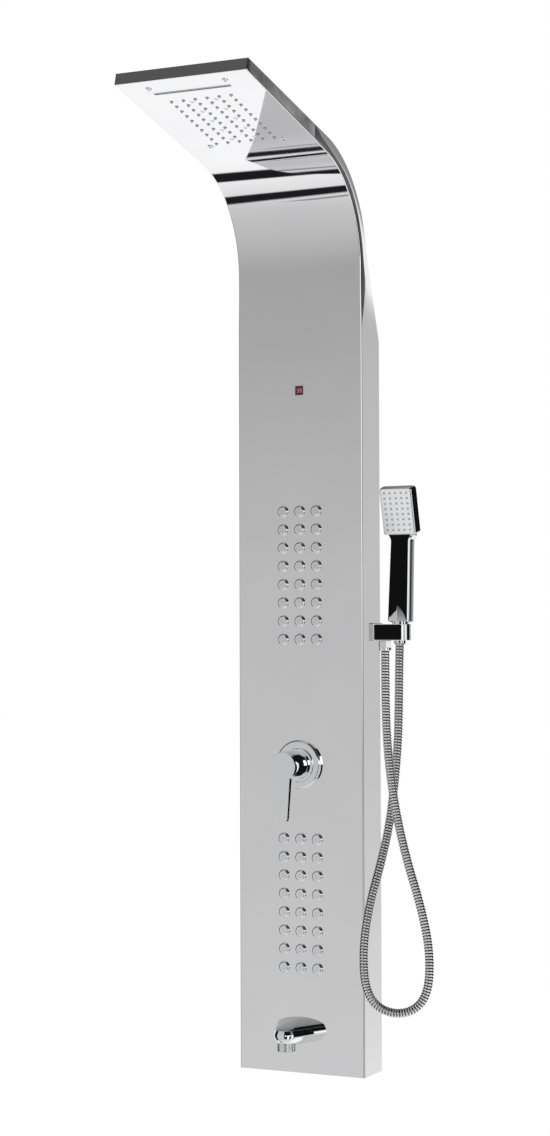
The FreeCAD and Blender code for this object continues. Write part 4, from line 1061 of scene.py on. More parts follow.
# ---------------------------------------------------------------- bent sheet
@dataclass
class BentColumn:
    """The mirror sheet of the column, its return lips and the cover on its back."""

    fold_steps: int = 5
    crease_tilt: float = 0.05
    crease_margin: float = 0.6
    wide_crease: float = 20.0
    cover_sheet: float = 1.0
    cover_edge: float = 0.98
    fit: float = 0.2

    def section(self, front: Vector, inward: Vector, back: Vector, crease: float) -> list[Vector]:
        """Points of the sheet's outside across the panel, from the left back edge to the right one.

        Args:
            front: Front point.
            inward: Direction into the column.
            back: Back point.
            crease: Distance of the side's crease from the front.

        Returns:
            The points.
        """
        reach = (back - front).length
        shallowest = PANEL.fold + self.crease_margin
        crease = min(max(crease, shallowest), reach - self.crease_margin)
        drawn_in = self.crease_tilt * max(crease - shallowest, 0.0) if crease < reach - 1 else 0.0
        side = Vector((PANEL.half_width, 0, 0))
        right = [side + back, side + front + (back - front).normalized() * crease]
        for step in range(self.fold_steps + 1):
            angle = math.pi / 2 * step / self.fold_steps
            across = PANEL.half_width - drawn_in - PANEL.fold + PANEL.fold * math.cos(angle)
            deep = PANEL.fold - PANEL.fold * math.sin(angle)
            right.append(Vector((across, 0, 0)) + front + inward * deep)
        return [Vector((-point.x, point.y, point.z)) for point in right] + right[::-1]

    def build_sheet(self) -> None:
        """Front, neck, head underside and side walls as one bent sheet with its slot."""
        piece = Piece("panel_sheet", MIRROR, LEAF_PAINTED_REFLECTION, HEAD_SIDE_PAINTED_REFLECTION)
        sections = [self.section(*station) for station in PANEL.stations()]
        creases = [station[3] for station in PANEL.stations()]
        count = len(sections[0])
        for section in sections:
            piece.points.extend(section)
        for span in range(len(sections) - 1):
            for index in range(count - 1):
                # The crease strip takes the painted dark reflection where the crease is narrow; the head's
                # wide creases and the side behind them take the painted reflection bands.
                mark = 0
                if index in (1, count - 3) and creases[span + 1] > PANEL.fold:
                    mark = 1 if creases[span] < self.wide_crease else 2
                if index in (0, count - 2) and creases[span] > self.wide_crease:
                    mark = 2
                low = span * count + index
                piece.face([low, low + 1, low + count + 1, low + count], mark)
        made = piece.to_object(smooth=24.0)
        thicken(made, PANEL.sheet, even=True)
        cutter = Piece("slot_cutter", MIRROR)
        middle = Vector((0, PANEL.slot_from_lip, 0))
        reach = Vector((PANEL.slot_width / 2, PANEL.slot_opening / 2, 5))
        cutter.block(middle - reach, middle + reach, PANEL.head_place())
        carve(made, cutter)
        normals = made.modifiers.new("normals", "WEIGHTED_NORMAL")
        normals.weight = 100
        settle(made, Body.COLUMN, Slot.PANEL, "front_panel")
        made.visible_glossy = True

    def build_lips(self) -> None:
        """Front lip of the head and the lips turned in along the wall and the bottom."""
        piece = Piece("panel_lips", MIRROR)
        half = PANEL.half_width
        place = PANEL.head_place()
        piece.block(Vector((-half, 0, 0.2)), Vector((half, PANEL.sheet, PANEL.lip_height)), place)
        for side in (-1, 1):
            inner, outer = sorted((side * (half - PANEL.sheet - PANEL.return_lip), side * (half - 0.4)))
            top = PANEL.gusset_foot - PANEL.depth
            piece.block(Vector((inner, -PANEL.sheet, 0.4)), Vector((outer, 0, top)))
        inside = PANEL.front + PANEL.sheet
        low = Vector((0.8 - half, inside - 1.2, 0))
        piece.block(low, Vector((half - 0.8, inside + PANEL.return_lip, PANEL.sheet)))
        piece.dress(Body.COLUMN, edge=0.3)

    def build_cover(self) -> None:
        """Cover on the head's top and the neck's back."""
        piece = Piece("back_cover_sheet", COVER_STEEL)
        half = PANEL.half_width - PANEL.sheet - self.fit
        backs = [station[2] for station in PANEL.stations() if station[2].z >= PANEL.gusset_foot]
        edge = self.cover_edge
        rows = [[Vector((x * half, back.y, back.z)) for x in (-1, -edge, edge, 1)] for back in backs]
        piece.loft(rows, round_loops=False)
        made = piece.to_object()
        thicken(made, self.cover_sheet)
        settle(made, Body.COLUMN, Slot.PANEL, "back_cover")

    def build(self) -> None:
        """Build the whole column."""
        self.build_sheet()
        self.build_lips()
        self.build_cover()


# ---------------------------------------------------------------- rain head
@dataclass
class RainHead:
    """Nozzles, lamps, waterfall slot and screws under the head."""

    columns: int = 6
    rows: int = 10
    pitch_x: float = 18.2
    pitch_y: float = 15.1
    first_row: float = 63.3
    nozzle_radius: float = 2.3
    nozzle_length: float = 2.6
    lamps: int = 5
    lamp_radius: float = 2.9
    lamp_proud: float = 0.6
    slot_lip: float = 1.2
    slot_depth: float = 7.0
    screw_x: float = 58.0
    screw_rows: tuple[float, float] = (19.7, 205.0)
    screw_head: float = 4.2
    screw_proud: float = 2.4

    def spot(self, x: float, from_lip: float) -> Matrix:
        """Placement of a small part whose Z axis points down out of the head.

        Args:
            x: Place across.
            from_lip: Distance behind the lip.

        Returns:
            The placement.
        """
        return PANEL.head_place() @ facing((x, from_lip, 0), DOWN)

    def build_nozzles(self) -> None:
        """Rain nozzles: soft tips with a bore."""
        radius, length = self.nozzle_radius, self.nozzle_length
        seat = [(radius * 1.12, -0.2), (radius * 1.12, 0.25), (radius * 0.9, 0.4)]
        tip = [
            (radius * 0.9, 0.3), (radius * 0.84, length * 0.6), (radius * 0.66, length * 0.95),
            (radius * 0.48, length), (radius * 0.32, length * 0.95), (radius * 0.28, length * 0.4),
        ]
        piece = Piece("rain_nozzle_tips", NOZZLE, SEAL)
        for across, row in grid(self.columns, self.rows):
            place = self.spot(across * self.pitch_x, self.first_row + row * self.pitch_y)
            piece.turned(seat, place, sides=18, mark=1)
            piece.turned(tip, place, sides=18)
        piece.dress(Body.COLUMN, "rain_nozzles", smooth=50.0)

    def build_lamps(self) -> None:
        """Lamp lenses between the nozzles, each in a thin metal ring."""
        piece = Piece("lamp_lenses", LENS, CHROME)
        radius, proud = self.lamp_radius, self.lamp_proud
        bore = radius - 0.5
        lens = [(bore, -0.3), (bore, proud * 0.7), (radius * 0.55, proud), (radius * 0.2, proud * 1.05)]
        ring = [
            (bore, -0.2), (radius + 0.2, -0.2), (radius + 0.2, proud * 0.5), (radius - 0.1, proud * 0.9),
            (bore, proud * 0.9),
        ]
        for side in (-1, 1):
            for index in range(self.lamps):
                place = self.spot(side * self.pitch_x, self.first_row + (2 * index + 0.5) * self.pitch_y)
                piece.turned(lens, place, sides=24)
                piece.turned(ring, place, sides=24, ring=True, mark=1)
        piece.dress(Body.COLUMN, "led_lenses", smooth=50.0)

    def build_slot(self) -> None:
        """Rim and throat of the waterfall slot."""
        piece = Piece("waterfall_slot", CHROME, SEAL)
        place = self.spot(0, PANEL.slot_from_lip)
        lip, bottom = self.slot_lip, -self.slot_depth
        wide, deep = PANEL.slot_width, PANEL.slot_opening
        rim = ((0, 1.2, bottom), (0, 1.2, lip * 0.7), (0.5, 1.0, lip), (1.5, 0.8, lip), (2, 0.7, lip * 0.6))
        # The throat is a closed plug in the dark seal rubber finish just inside the opening: painted shade
        # inside the slot.
        throat = ((2, 0.7, lip * 0.6), (2, 0.7, bottom + 2))
        for rows, closed, mark in ((rim, False, 0), (throat, True, 1)):
            loops = [
                rounded_loop(wide - lip * cut, deep - lip * cut, corner, level) for cut, corner, level in rows
            ]
            piece.loft(loops, place, caps=closed, mark=mark)
        piece.dress(Body.COLUMN, "waterfall_nozzle", smooth=50.0)

    def build_screws(self) -> None:
        """Domed screws with a hexagon socket."""
        piece = Piece("head_screw_domes", CHROME, SEAL)
        head, proud = self.screw_head, self.screw_proud
        dome = [
            (head, -0.2), (head, proud * 0.25), (head * 0.93, proud * 0.55), (head * 0.76, proud * 0.82),
            (head * 0.52, proud * 0.97), (head * 0.42, proud),
        ]
        # The hexagon socket is a dark hexagon in the seal rubber finish, standing just proud of the dome:
        # painted shade of the recess.
        socket = [(head * 0.36, proud * 0.5), (head * 0.36, proud * 1.02)]
        for x in (-self.screw_x, self.screw_x):
            for from_lip in self.screw_rows:
                place = self.spot(x, from_lip)
                piece.turned(dome, place, sides=32)
                piece.turned(socket, place, sides=6, mark=1)
        piece.dress(Body.COLUMN, "head_screws", smooth=50.0)

    def build(self) -> None:
        """Build everything under the head."""
        self.build_nozzles()
        self.build_lamps()
        self.build_slot()
        self.build_screws()


# ---------------------------------------------------------------- display
@dataclass
class Display:
    """Small temperature display in the front."""

    height: float = 996.0
    size: float = 15.0
    bezel: float = 1.0
    proud: float = 0.8
    digit_height: float = 5.4
    digit_width: float = 2.9
    stroke: float = 0.8
    figure_shift: float = 2.5

    SEGMENTS = {"3": "abgcd", "8": "abcdefg"}

    def bar(self, piece: Piece, centre: Flat, size: Flat) -> None:
        """Add one lit bar.

        Args:
            piece: Piece to add it to.
            centre: Its middle, across and up from the display's middle.
            size: Its width and height.
        """
        front = PANEL.front - self.proud * 0.55
        (x, z), (wide, tall) = centre, size
        low = Vector((x - wide / 2, front - 0.06, self.height + z - tall / 2))
        piece.block(low, Vector((x + wide / 2, front + 0.2, self.height + z + tall / 2)))

    def build(self) -> None:
        """Build the bezel, the window and the lit figures."""
        rim = Piece("display_frame", SATIN_CHROME)
        place = PANEL.on_front(0, self.height)
        size, inner, proud = self.size, self.size - 2 * self.bezel, self.proud
        rows = (
            (size, 1.0, -0.2), (size, 1.0, proud - 0.25), (size - 0.4, 0.8, proud), (inner + 0.3, 0.5, proud),
            (inner, 0.4, proud * 0.4),
        )
        rim.loft([rounded_loop(wide, wide, corner, level) for wide, corner, level in rows], place, caps=False)
        rim.dress(Body.COLUMN, "display_bezel", smooth=50.0)
        pane = Piece("display_pane", WINDOW)
        pane.loft([rounded_loop(inner, inner, 0.5, level) for level in (-0.2, proud * 0.5)], place)
        pane.dress(Body.COLUMN, "display_window")
        figures = Piece("display_figures", DIGIT)
        wide, tall, stroke = self.digit_width, self.digit_height, self.stroke
        level, upright = (wide, stroke), (stroke, tall / 2)
        bars = {
            "a": (0, tall / 2, level), "d": (0, -tall / 2, level), "g": (0, 0, level),
            "b": (wide / 2, tall / 4, upright), "c": (wide / 2, -tall / 4, upright),
            "e": (-wide / 2, -tall / 4, upright), "f": (-wide / 2, tall / 4, upright),
        }
        for shift, figure in ((-self.figure_shift, "3"), (self.figure_shift, "8")):
            for name in self.SEGMENTS[figure]:
                x, z, bar_size = bars[name]
                self.bar(figures, (x + shift, z), bar_size)
        figures.dress(Body.COLUMN)


# ---------------------------------------------------------------- body jets
@dataclass
class BodyJets:
    """Two groups of domed jets."""

    columns: int = 3
    rows: int = 8
    pitch: float = 26.8
    tops: tuple[float, float] = (818.4, 339.7)
    radius: float = 8.8
    dome: float = 4.4
    face: float = 4.6
    holes: int = 6
    hole_ring: float = 2.5

    def build(self) -> None:
        """Build every jet with its face and its small outlets."""
        piece = Piece("jet_domes", CHROME, SEAL)
        radius, dome, face = self.radius, self.dome, self.face
        skirt = [(radius, -0.2), (radius, 0.5), (radius - 0.25, 0.9)]
        for share in (0.2, 0.4, 0.6, 0.8):
            angle = math.pi / 2 * share
            reach = face + (radius - 0.4 - face) * math.cos(angle) ** 0.8
            skirt.append((reach, 0.9 + (dome - 0.9) * math.sin(angle)))
        skirt += [(face, dome), (face - 0.5, dome - 0.35)]
        outlet = [(0.5, 0), (0.5, 0.25), (0.3, 0.3)]
        for top in self.tops:
            for across, row in grid(self.columns, self.rows):
                place = PANEL.on_front(across * self.pitch, top - row * self.pitch)
                piece.turned(skirt, place, sides=36)
                for hole in circle(self.hole_ring, dome - 0.4, self.holes):
                    piece.turned(outlet, place @ Matrix.Translation(hole), sides=8, mark=1)
        piece.dress(Body.COLUMN, "body_jets", smooth=50.0)


# ---------------------------------------------------------------- mixer
@dataclass
class Mixer:
    """Escutcheon, selector ring, cartridge dome and the handle with its lever."""

    height: float = 448.4
    plate_radius: float = 35.8
    plate_thickness: float = 10.0
    plate_bevel: float = 4.0
    ring_radius: float = 24.6
    ring_bore: float = 20.8
    ring_front: float = 12.0
    pivot_out: float = 14.0
    ring_back: float = -2.6
    dome_radius: float = 19.3
    dome_mouth: float = 12.0
    dome_wall: float = 2.0
    handle_radius: float = 22.6
    barrel: float = 1.6
    handle_wall: float = 2.4
    handle_back: float = 22.0
    handle_floor: float = 38.0
    handle_front: float = 62.0
    lever_reach: float = 82.0
    root_width: float = 24.0
    tip_width: float = 17.0
    thickness: float = 7.6
    tip_thickness: float = 5.0
    lever_edge: float = 3.0
    ring_sides: int = 144
    flute_every: int = 4
    flute_depth: float = 0.35

    @property
    def place(self) -> Matrix:
        """Placement on the mixer's axis, its Z axis out of the panel."""
        return PANEL.on_front(0, self.height)

    def build_plate(self) -> None:
        """Escutcheon with its rounded front edge."""
        piece = Piece("escutcheon_plate", CHROME)
        bore = self.ring_radius + 0.4
        radius, thick, bevel = self.plate_radius, self.plate_thickness, self.plate_bevel
        profile = [(bore, 0.0), (radius, 0.0)]
        profile += arc_profile((radius - bevel, thick - bevel), bevel, 0, 90, 8)
        profile += [(bore + 0.4, thick), (bore, thick - 0.4)]
        piece.turned(profile, self.place, sides=96, ring=True)
        piece.dress(Body.COLUMN, "mixer_escutcheon", smooth=40.0)

    def build_ring(self) -> None:
        """Selector ring with grip flutes and an index mark."""
        piece = Piece("selector_grip_ring", CHROME, BLACK)
        bore, outer = self.ring_bore, self.ring_radius
        back, front = self.ring_back, self.ring_front
        loops = []
        for radius, along, fluted in (
            (bore, back, False), (outer, back, False), (outer, front - 1.8, False),
            (outer, front - 1.5, True), (outer - 0.2, front - 0.5, True), (outer - 0.8, front, True),
            (bore + 0.4, front, False), (bore, front - 0.4, False),
        ):
            loop = circle(radius, along, self.ring_sides)
            if fluted:
                grooves = circle(radius - self.flute_depth, along, self.ring_sides)
                loop[::self.flute_every] = grooves[::self.flute_every]
            loops.append(loop)
        piece.loft(loops, self.place, ring=True)
        mark = self.place @ Matrix.Translation((0, (outer + bore) / 2, front))
        piece.turned([(0.8, -0.2), (0.8, 0.1), (0.6, 0.2)], mark, sides=16, mark=1)
        piece.dress(Body.SELECTOR, "selector_ring", smooth=40.0)

    def build_dome(self) -> None:
        """Dome over the cartridge."""
        piece = Piece("cartridge_cap", CHROME)
        radius = self.dome_radius
        inner = radius - self.dome_wall
        mouth = math.degrees(math.acos(self.dome_mouth / radius))
        outside = arc_profile((0, self.pivot_out), radius, 0, mouth, 12)
        inside = arc_profile((0, self.pivot_out), inner, mouth - 2, 0, 12)
        profile = [(radius, 0.0), *outside, *inside, (inner, 0.0)]
        piece.turned(profile, self.place, sides=80, ring=True)
        piece.dress(Body.COLUMN, "cartridge_dome", smooth=40.0)

    def build_handle(self) -> None:
        """Round handle with its flat lever tongue."""
        piece = Piece("handle_and_lever", CHROME)
        radius, barrel = self.handle_radius, self.barrel
        inner = radius - self.handle_wall
        back, floor, out = self.handle_back, self.handle_floor, self.handle_front
        front = radius - barrel
        neck = out - self.thickness
        profile = [
            (inner, floor), (inner, back + 0.3), (inner + 0.3, back), (radius - 0.9, back),
            (radius - 0.5, back + 0.5), (radius - 0.25, back + 4), (radius - 0.04, back + 9),
            (radius, back + 12), (radius - 0.06, back + 15), (radius - 0.35 * barrel, back + 21),
            (radius - 0.7 * barrel, back + 28), (front, neck + 0.4), (front - 0.6, neck + 1),
        ]
        piece.turned(profile, self.place, sides=96)
        tip = self.tip_width / 2
        root = self.root_width / 2
        root_y = math.sqrt(front ** 2 - root ** 2)
        turn = math.degrees(math.asin(root / front))
        loops = []
        for level, inset in ((0.0, 0.9), (0.2, 0.62), (0.5, 0.52), (2.6, 0.08), (self.lever_edge, 0.35)):
            outline = arc_profile((0, 0), front - inset, turn - 90, 270 - turn, 56)
            outline += arc_profile((0, tip - self.lever_reach), tip - inset, 180, 360, 20)
            loop = []
            for x, y in outline:
                share = min(max((-y - root_y) / (self.lever_reach - root_y), 0), 1)
                thick = self.thickness + (self.tip_thickness - self.thickness) * share
                along = out - level if level < 1 else out - thick + self.lever_edge - level
                loop.append(Vector((x, y, along)))
            loops.append(loop)
        piece.loft(loops, self.place)
        piece.dress(Body.LEVER, "mixer_handle", smooth=40.0)

    def build(self) -> None:
        """Build the whole mixer."""
        self.build_plate()
        self.build_ring()
        self.build_dome()
        self.build_handle()


# ---------------------------------------------------------------- bath spout
@dataclass
class BathSpout:
    """Wedge-shaped bath spout and its outlet."""

    height: float = 66.5
    half_width: float = 41.0
    outlet_out: float = 52.0
    nose_radius: float = 18.2
    band: float = 8.4
    crown: float = 11.0
    band_lean: float = 2.6
    crown_half_width: float = 18.0
    belly: float = 13.0
    belly_rows: tuple[Flat, ...] = ((11.5, 1.0), (8.0, 0.96), (5.2, 0.8), (3.0, 0.58), (1.2, 0.3), (0.0, 0.0))
    belly_spread: float = 1.5
    crown_nose: float = 4.0
    crown_gap: float = 0.2
    crown_sink: float = 0.3
    outlet_radius: float = 13.6
    outlet_drop: float = 9.5
    outlet_bore: float = 11.0
    gasket: float = 1.0
    nose_steps: int = 24
    crown_steps: int = 12

    def section(self, height: float, half_width: float, nose: float, out: float) -> Loop:
        """Outline of the spout at a height.

        Args:
            height: Its height.
            half_width: Half its width at the panel.
            nose: Radius of its nose.
            out: Distance of the nose's centre in front of the panel.

        Returns:
            The loop, seen from above.
        """
        root_y = PANEL.front - self.gasket
        centre = Vector((0, PANEL.front - out, height))
        corner = Vector((half_width, root_y, height))
        across = centre - corner
        lean = math.atan2(across.y, across.x) + math.asin(nose / across.length)
        first = math.degrees(lean) + 90
        if first > 180:
            first -= 360
        arc = arc_profile((centre.x, centre.y), nose, first, -180 - first, self.nose_steps)
        return [corner] + [Vector((x, y, height)) for x, y in arc] + [Vector((-half_width, root_y, height))]

    def build(self) -> None:
        """Build the spout's body and its outlet."""
        piece = Piece("spout_shell", CHROME, CROWN_PAINTED_REFLECTION)
        low = self.height - self.band / 2
        high = self.height + self.band / 2
        loops = []
        for inset, drop in self.belly_rows:
            half, level = self.half_width - inset * self.belly_spread, low - self.belly * drop
            loops.append(self.section(level, half, self.nose_radius - inset, self.outlet_out))
        for share in (0.4, 0.75, 1.0):
            inset = self.band_lean * share ** 1.5
            half, level = self.half_width - inset, low + self.band * share
            loops.append(self.section(level, half, self.nose_radius - inset, self.outlet_out))
        piece.loft(loops)
        crown = []
        foot_inset = self.band_lean + self.crown_gap
        half_top, nose_top, out_top = self.crown_half_width, self.crown_nose, 2 * self.crown_nose
        for step in range(self.crown_steps + 1):
            angle = math.pi / 2 * step / self.crown_steps
            rise, spread = math.sin(angle), math.cos(angle)
            half = half_top + (self.half_width - foot_inset - half_top) * spread
            nose = nose_top + (self.nose_radius - foot_inset - nose_top) * spread
            out = out_top + (self.outlet_out - out_top) * (1 - rise ** 1.5)
            level = high - self.crown_sink + self.crown * rise
            crown.append(self.section(level, half * (0.35 + 0.65 * spread), nose * (0.3 + 0.7 * spread), out))
        # The crown takes the painted grey reflection.
        piece.loft(crown, mark=1)
        piece.dress(Body.COLUMN, "spout_body", edge=0.7, smooth=30.0)
        outlet = Piece("spout_outlet", SOFT_CHROME, SEAL)
        place = facing((0, PANEL.front - self.outlet_out, low - self.belly), DOWN)
        radius, drop, bore = self.outlet_radius, self.outlet_drop, self.outlet_bore
        tube = [
            (radius, -8.0), (radius, drop - 1), (radius - 0.4, drop - 0.3), (radius - 1, drop), (bore, drop),
            (bore, 1),
        ]
        sieve = [(bore - 0.1, 1), (bore - 0.1, drop - 3), (bore - 1, drop - 2.6)]
        outlet.turned(tube, place)
        outlet.turned(sieve, place, sides=48, mark=1)
        outlet.dress(Body.COLUMN, "spout_aerator", smooth=40.0)


# ---------------------------------------------------------------- hand shower
@dataclass
class HandShower:
    """Holder, hose outlet and the hand shower in its socket."""

    height: float = 641.0
    out: float = 42.0
    axis_y: float = -24.0
    block_height: float = 24.0
    end_radius: float = 15.6
    flange: float = 7.0
    overhang: float = 1.5
    socket_top: float = 12.0
    socket_bottom: float = 9.6
    clearance: float = 0.4
    outlet_out: float = 18.5
    nut_radius: float = 10.0
    nut_length: float = 15.0
    hex_length: float = 10.5
    collar_radius: float = 8.8
    lean: float = 4.5
    handle_start: float = 15.0
    handle_length: float = 122.0
    top_width: float = 25.0
    bottom_width: float = 28.0
    thickness: float = 23.0
    spray_width: float = 50.0
    spray_depth: float = 17.0
    spray_tilt: float = 19.0
    spray_rise: float = 5.0
    spray_corner: float = 6.0
    rim: float = 2.2
    cone_end: float = 17.0
    arch_height: float = 22.0
    arch_half: float = 13.4
    arch_keel: float = 2.6
    arch_gap: float = 0.6
    arch_steps: int = 10
    inlay_end: float = -61.0
    chamfer: tuple[float, float] = (2.2, 3.2)
    widening: float = 4.0
    flare: float = 9.0
    flare_start: float = 0.965
    flare_run: float = 0.07
    neck: float = 10.5
    head_low: float = -1.2
    head_high: float = 68.8
    back_widening: float = 0.09
    face_columns: int = 5
    face_rows: int = 8

    @property
    def axis_x(self) -> float:
        """X of the hand shower's axis."""
        return PANEL.half_width + self.out

    @property
    def place(self) -> Matrix:
        """Placement of the hand shower: socket centre, handle up."""
        return tilted((self.axis_x, self.axis_y, self.height), -self.lean)

    @property
    def socket_taper(self) -> float:
        """Growth of the socket's radius with height."""
        return (self.socket_top - self.socket_bottom) / self.block_height

    def front_arc(self, root: float, radius: float, end: float, steps: int) -> list[Flat]:
        """Corner at the holder's root and the arc round the hand shower's axis.

        Args:
            root: X of the root.
            radius: Radius of the arc.
            end: Last angle in degrees.
            steps: Number of chords.

        Returns:
            The points, seen from above.
        """
        arc = arc_profile((self.axis_x, self.axis_y), radius, -90, end, steps)
        return [(root, self.axis_y - radius), *arc]

    def build_holder(self) -> None:
        """Flange, block with its socket, and the dark inlay in its front."""
        flange = Piece("holder_plate", SOFT_CHROME)
        deep = 2 * (self.end_radius + self.overhang)
        tall = self.block_height + 2 * self.overhang
        place = facing((PANEL.half_width, self.axis_y, self.height), (1, 0, 0))
        flange.loft([rounded_loop(tall, deep, 2.0, level) for level in (0, self.flange)], place)
        flange.dress(Body.COLUMN, "holder_flange", edge=0.6)
        block = Piece("holder_block", CHROME)
        low = self.height - self.block_height / 2
        root = PANEL.half_width + self.flange - 0.4
        outline = [(root, self.axis_y + self.end_radius), *self.front_arc(root, self.end_radius, 90, 28)]
        loops = []
        for level, inset in ((0, 0.5), (0.5, 0), (self.block_height - 0.5, 0), (self.block_height, 0.5)):
            loop = []
            for x, y in outline:
                away = Vector((max(x - self.axis_x, 0), y - self.axis_y)) * inset / self.end_radius
                loop.append(Vector((x - away.x, y - away.y, low + level)))
            loops.append(loop)
        block.loft(loops)
        made = block.to_object(smooth=40.0)
        cutter = Piece("socket_cutter", CHROME)
        middle, reach = (self.socket_top + self.socket_bottom) / 2, self.block_height
        growth = reach * self.socket_taper
        cutter.turned([(middle - growth, -reach), (middle + growth, reach)], self.place, sides=56)
        carve(made, cutter)
        settle(made, Body.COLUMN, Slot.CHROME, "handset_holder")
        inlay = Piece("holder_front_inlay", BLACK)
        outer, inner = (
            self.front_arc(root + 0.8, radius, self.inlay_end, 8)
            for radius in (self.end_radius + 0.18, self.end_radius - 0.5)
        )
        outline = outer + inner[::-1]
        levels = (low + 0.9, low + self.block_height - 0.9)
        inlay.loft([[Vector((x, y, level)) for x, y in outline] for level in levels])
        inlay.dress(Body.COLUMN, "holder_inlay")

    def build_outlet(self) -> None:
        """Hexagonal nut and collar at the hose's start."""
        piece = Piece("hose_start_nut", CHROME)
        top = self.height - self.block_height / 2
        place = facing((PANEL.half_width + self.outlet_out, self.axis_y, top), DOWN)
        full, bevelled, end = self.nut_radius, self.nut_radius - 0.6, self.hex_length
        piece.turned([(bevelled, 0.2), (full, 0.8), (full, end - 0.6), (bevelled, end)], place, sides=6)
        radius, length = self.collar_radius, self.nut_length
        collar = [
            (radius - 0.5, end - 0.3), (radius, end + 0.4), (radius, length - 0.7), (radius - 0.7, length),
        ]
        piece.turned(collar, place, sides=40)
        piece.dress(Body.COLUMN, "hose_nut", smooth=35.0)

    def spray_place(self) -> Matrix:
        """Placement of the spray head, its Z axis up the head."""
        top = self.handle_start + self.handle_length + self.spray_rise
        return self.place @ tilted((0, -self.thickness / 2, top), self.spray_tilt)

    def handle_width(self, share: float) -> float:
        """Width of the handle's front, which flares below the spray head.

        Args:
            share: Place along the handle, from 0 at its lower end to 1.

        Returns:
            The width.
        """
        flare = min(max(share - self.flare_start, 0.0) / self.flare_run, 1.0)
        taper = (self.top_width - self.bottom_width) * share
        return self.bottom_width + self.widening + taper + self.flare * flare ** 1.6

    def handle_loop(self, share: float, shrink: float) -> Loop:
        """Section of the handle: chamfered front, back a little wider than the front.

        Args:
            share: Place along the handle, from 0 at its lower end to 1.
            shrink: How much smaller the section is all round.

        Returns:
            The loop.
        """
        half = self.handle_width(share) / 2 - shrink
        front = -self.thickness / 2 + shrink
        back = self.thickness / 2 - 2.5 - shrink
        across, deep = self.chamfer
        right = [
            (half - across, front), (half, front + deep), (half, front + deep + 4.0),
            (half + 1.5, back - 2.6), (half + 0.9, back - 1.0), (half - 1.0, back - 0.2), (half - 3.2, back),
        ]
        outline = right + [(-x, y) for x, y in reversed(right)]
        height = self.handle_start + share * self.handle_length
        return [self.place @ Vector((x, y, height)) for x, y in outline]

    def build_body(self) -> None:
        """Chromed shell: chamfered handle and the spray head on its end."""
        piece = Piece("hand_shower_shell", CHROME)
        shares = [(0.0, 0.7), (0.005, 0.2), (0.012, 0.0), (0.5, 0.0)]
        shares += [(self.flare_start + 0.0142 * step, 0.0) for step in range(6)]
        shares.append((1 + self.neck / self.handle_length, 1.5))
        piece.loft([self.handle_loop(share, shrink) for share, shrink in shares])
        head = self.spray_place()
        depth = self.spray_depth
        low, high = self.head_low, self.head_high
        loops = []
        for along, narrow, thin in (
            (low, 4.6, 2.6), (low + 0.5, 2.2, 1.2), (low + 1.6, 0.5, 0.3), (low + 3.2, 0.0, 0.0),
            (high - 6.0, 0.0, 0.0), (high - 3.6, 0.5, 0.3), (high - 1.6, 2.0, 1.4), (high - 0.5, 4.6, 3.2),
            (high, 8.0, 5.4),
        ):
            loop = []
            for point in rounded_loop(self.spray_width - narrow, depth - thin, 2.2, along):
                widened = point.x * (1 + self.back_widening * (point.y / depth + 0.5))
                loop.append(head @ Vector((widened, point.y + depth / 2, point.z)))
            loops.append(loop)
        piece.loft(loops)
        piece.dress(Body.HANDSET, "handset_body", smooth=30.0)

    def build_face(self) -> None:
        """Face plate of the spray head with its small soft nozzles."""
        piece = Piece("spray_plate", FACE, NOZZLE, GREY)
        wide = self.spray_width - 2 * self.rim
        tall = self.head_high - self.head_low - 2 * self.rim
        place = self.spray_place() @ facing((0, 0, (self.head_low + self.head_high) / 2), OUTWARD)
        rows = ((-0.6, 0), (0.15, 0), (0.35, 0.5))
        corner = self.spray_corner - self.rim
        piece.loft([rounded_loop(wide - cut, tall - cut, corner, level) for level, cut in rows], place)
        seat = [(1.75, 0.1), (1.75, 0.42), (1.5, 0.5)]
        tip = [(1.45, 0.2), (1.4, 0.7), (1.1, 1.1), (0.6, 1.15), (0.45, 0.6)]
        for across, row in grid(self.face_columns, self.face_rows):
            x = across * wide / (self.face_columns + 0.2)
            y = (row - (self.face_rows - 1) / 2) * tall / (self.face_rows + 0.4)
            spot = place @ Matrix.Translation((x, y, 0))
            piece.turned(seat, spot, sides=12, mark=2)
            piece.turned(tip, spot, sides=12, mark=1)
        piece.dress(Body.HANDSET, "spray_face", smooth=50.0)

    def build_grip(self) -> None:
        """Glossy dark front of the handle, and the keeled chrome arch at its foot."""
        piece = Piece("grip_panel", BLACK)
        right = []
        for share in (0.006, 0.25, 0.5, 0.75, 0.965, 0.979, 0.993, 1.007, 1.021, 1.035):
            reach = self.handle_width(share) / 2 - self.chamfer[0] + 0.9
            right.append((reach, self.handle_start + share * self.handle_length))
        outline = right + [(-x, z) for x, z in reversed(right)]
        front = -self.thickness / 2
        piece.loft([[Vector((x, front + level, z)) for x, z in outline] for level in (1.4, -0.2)], self.place)
        piece.dress(Body.HANDSET, "grip_inlay", edge=0.15)
        arch = Piece("grip_arch", CHROME)
        low, proud = self.handle_start + 0.3, front - 0.5
        for side in (-1, 1):
            rows = []
            gap = side * self.arch_gap
            for step in range(self.arch_steps + 1):
                share = step / self.arch_steps
                foot = side * (self.arch_gap + (self.arch_half - self.arch_gap) * (1 - share ** 1.7))
                keel = proud - self.arch_keel * (1 - share ** 2.5)
                row = ((gap, front), (gap, keel), (foot, proud), (foot, front))
                rows.append([Vector((x, y, low + self.arch_height * share)) for x, y in row])
            arch.loft(rows, self.place)
        arch.dress(Body.HANDSET, smooth=14.0)

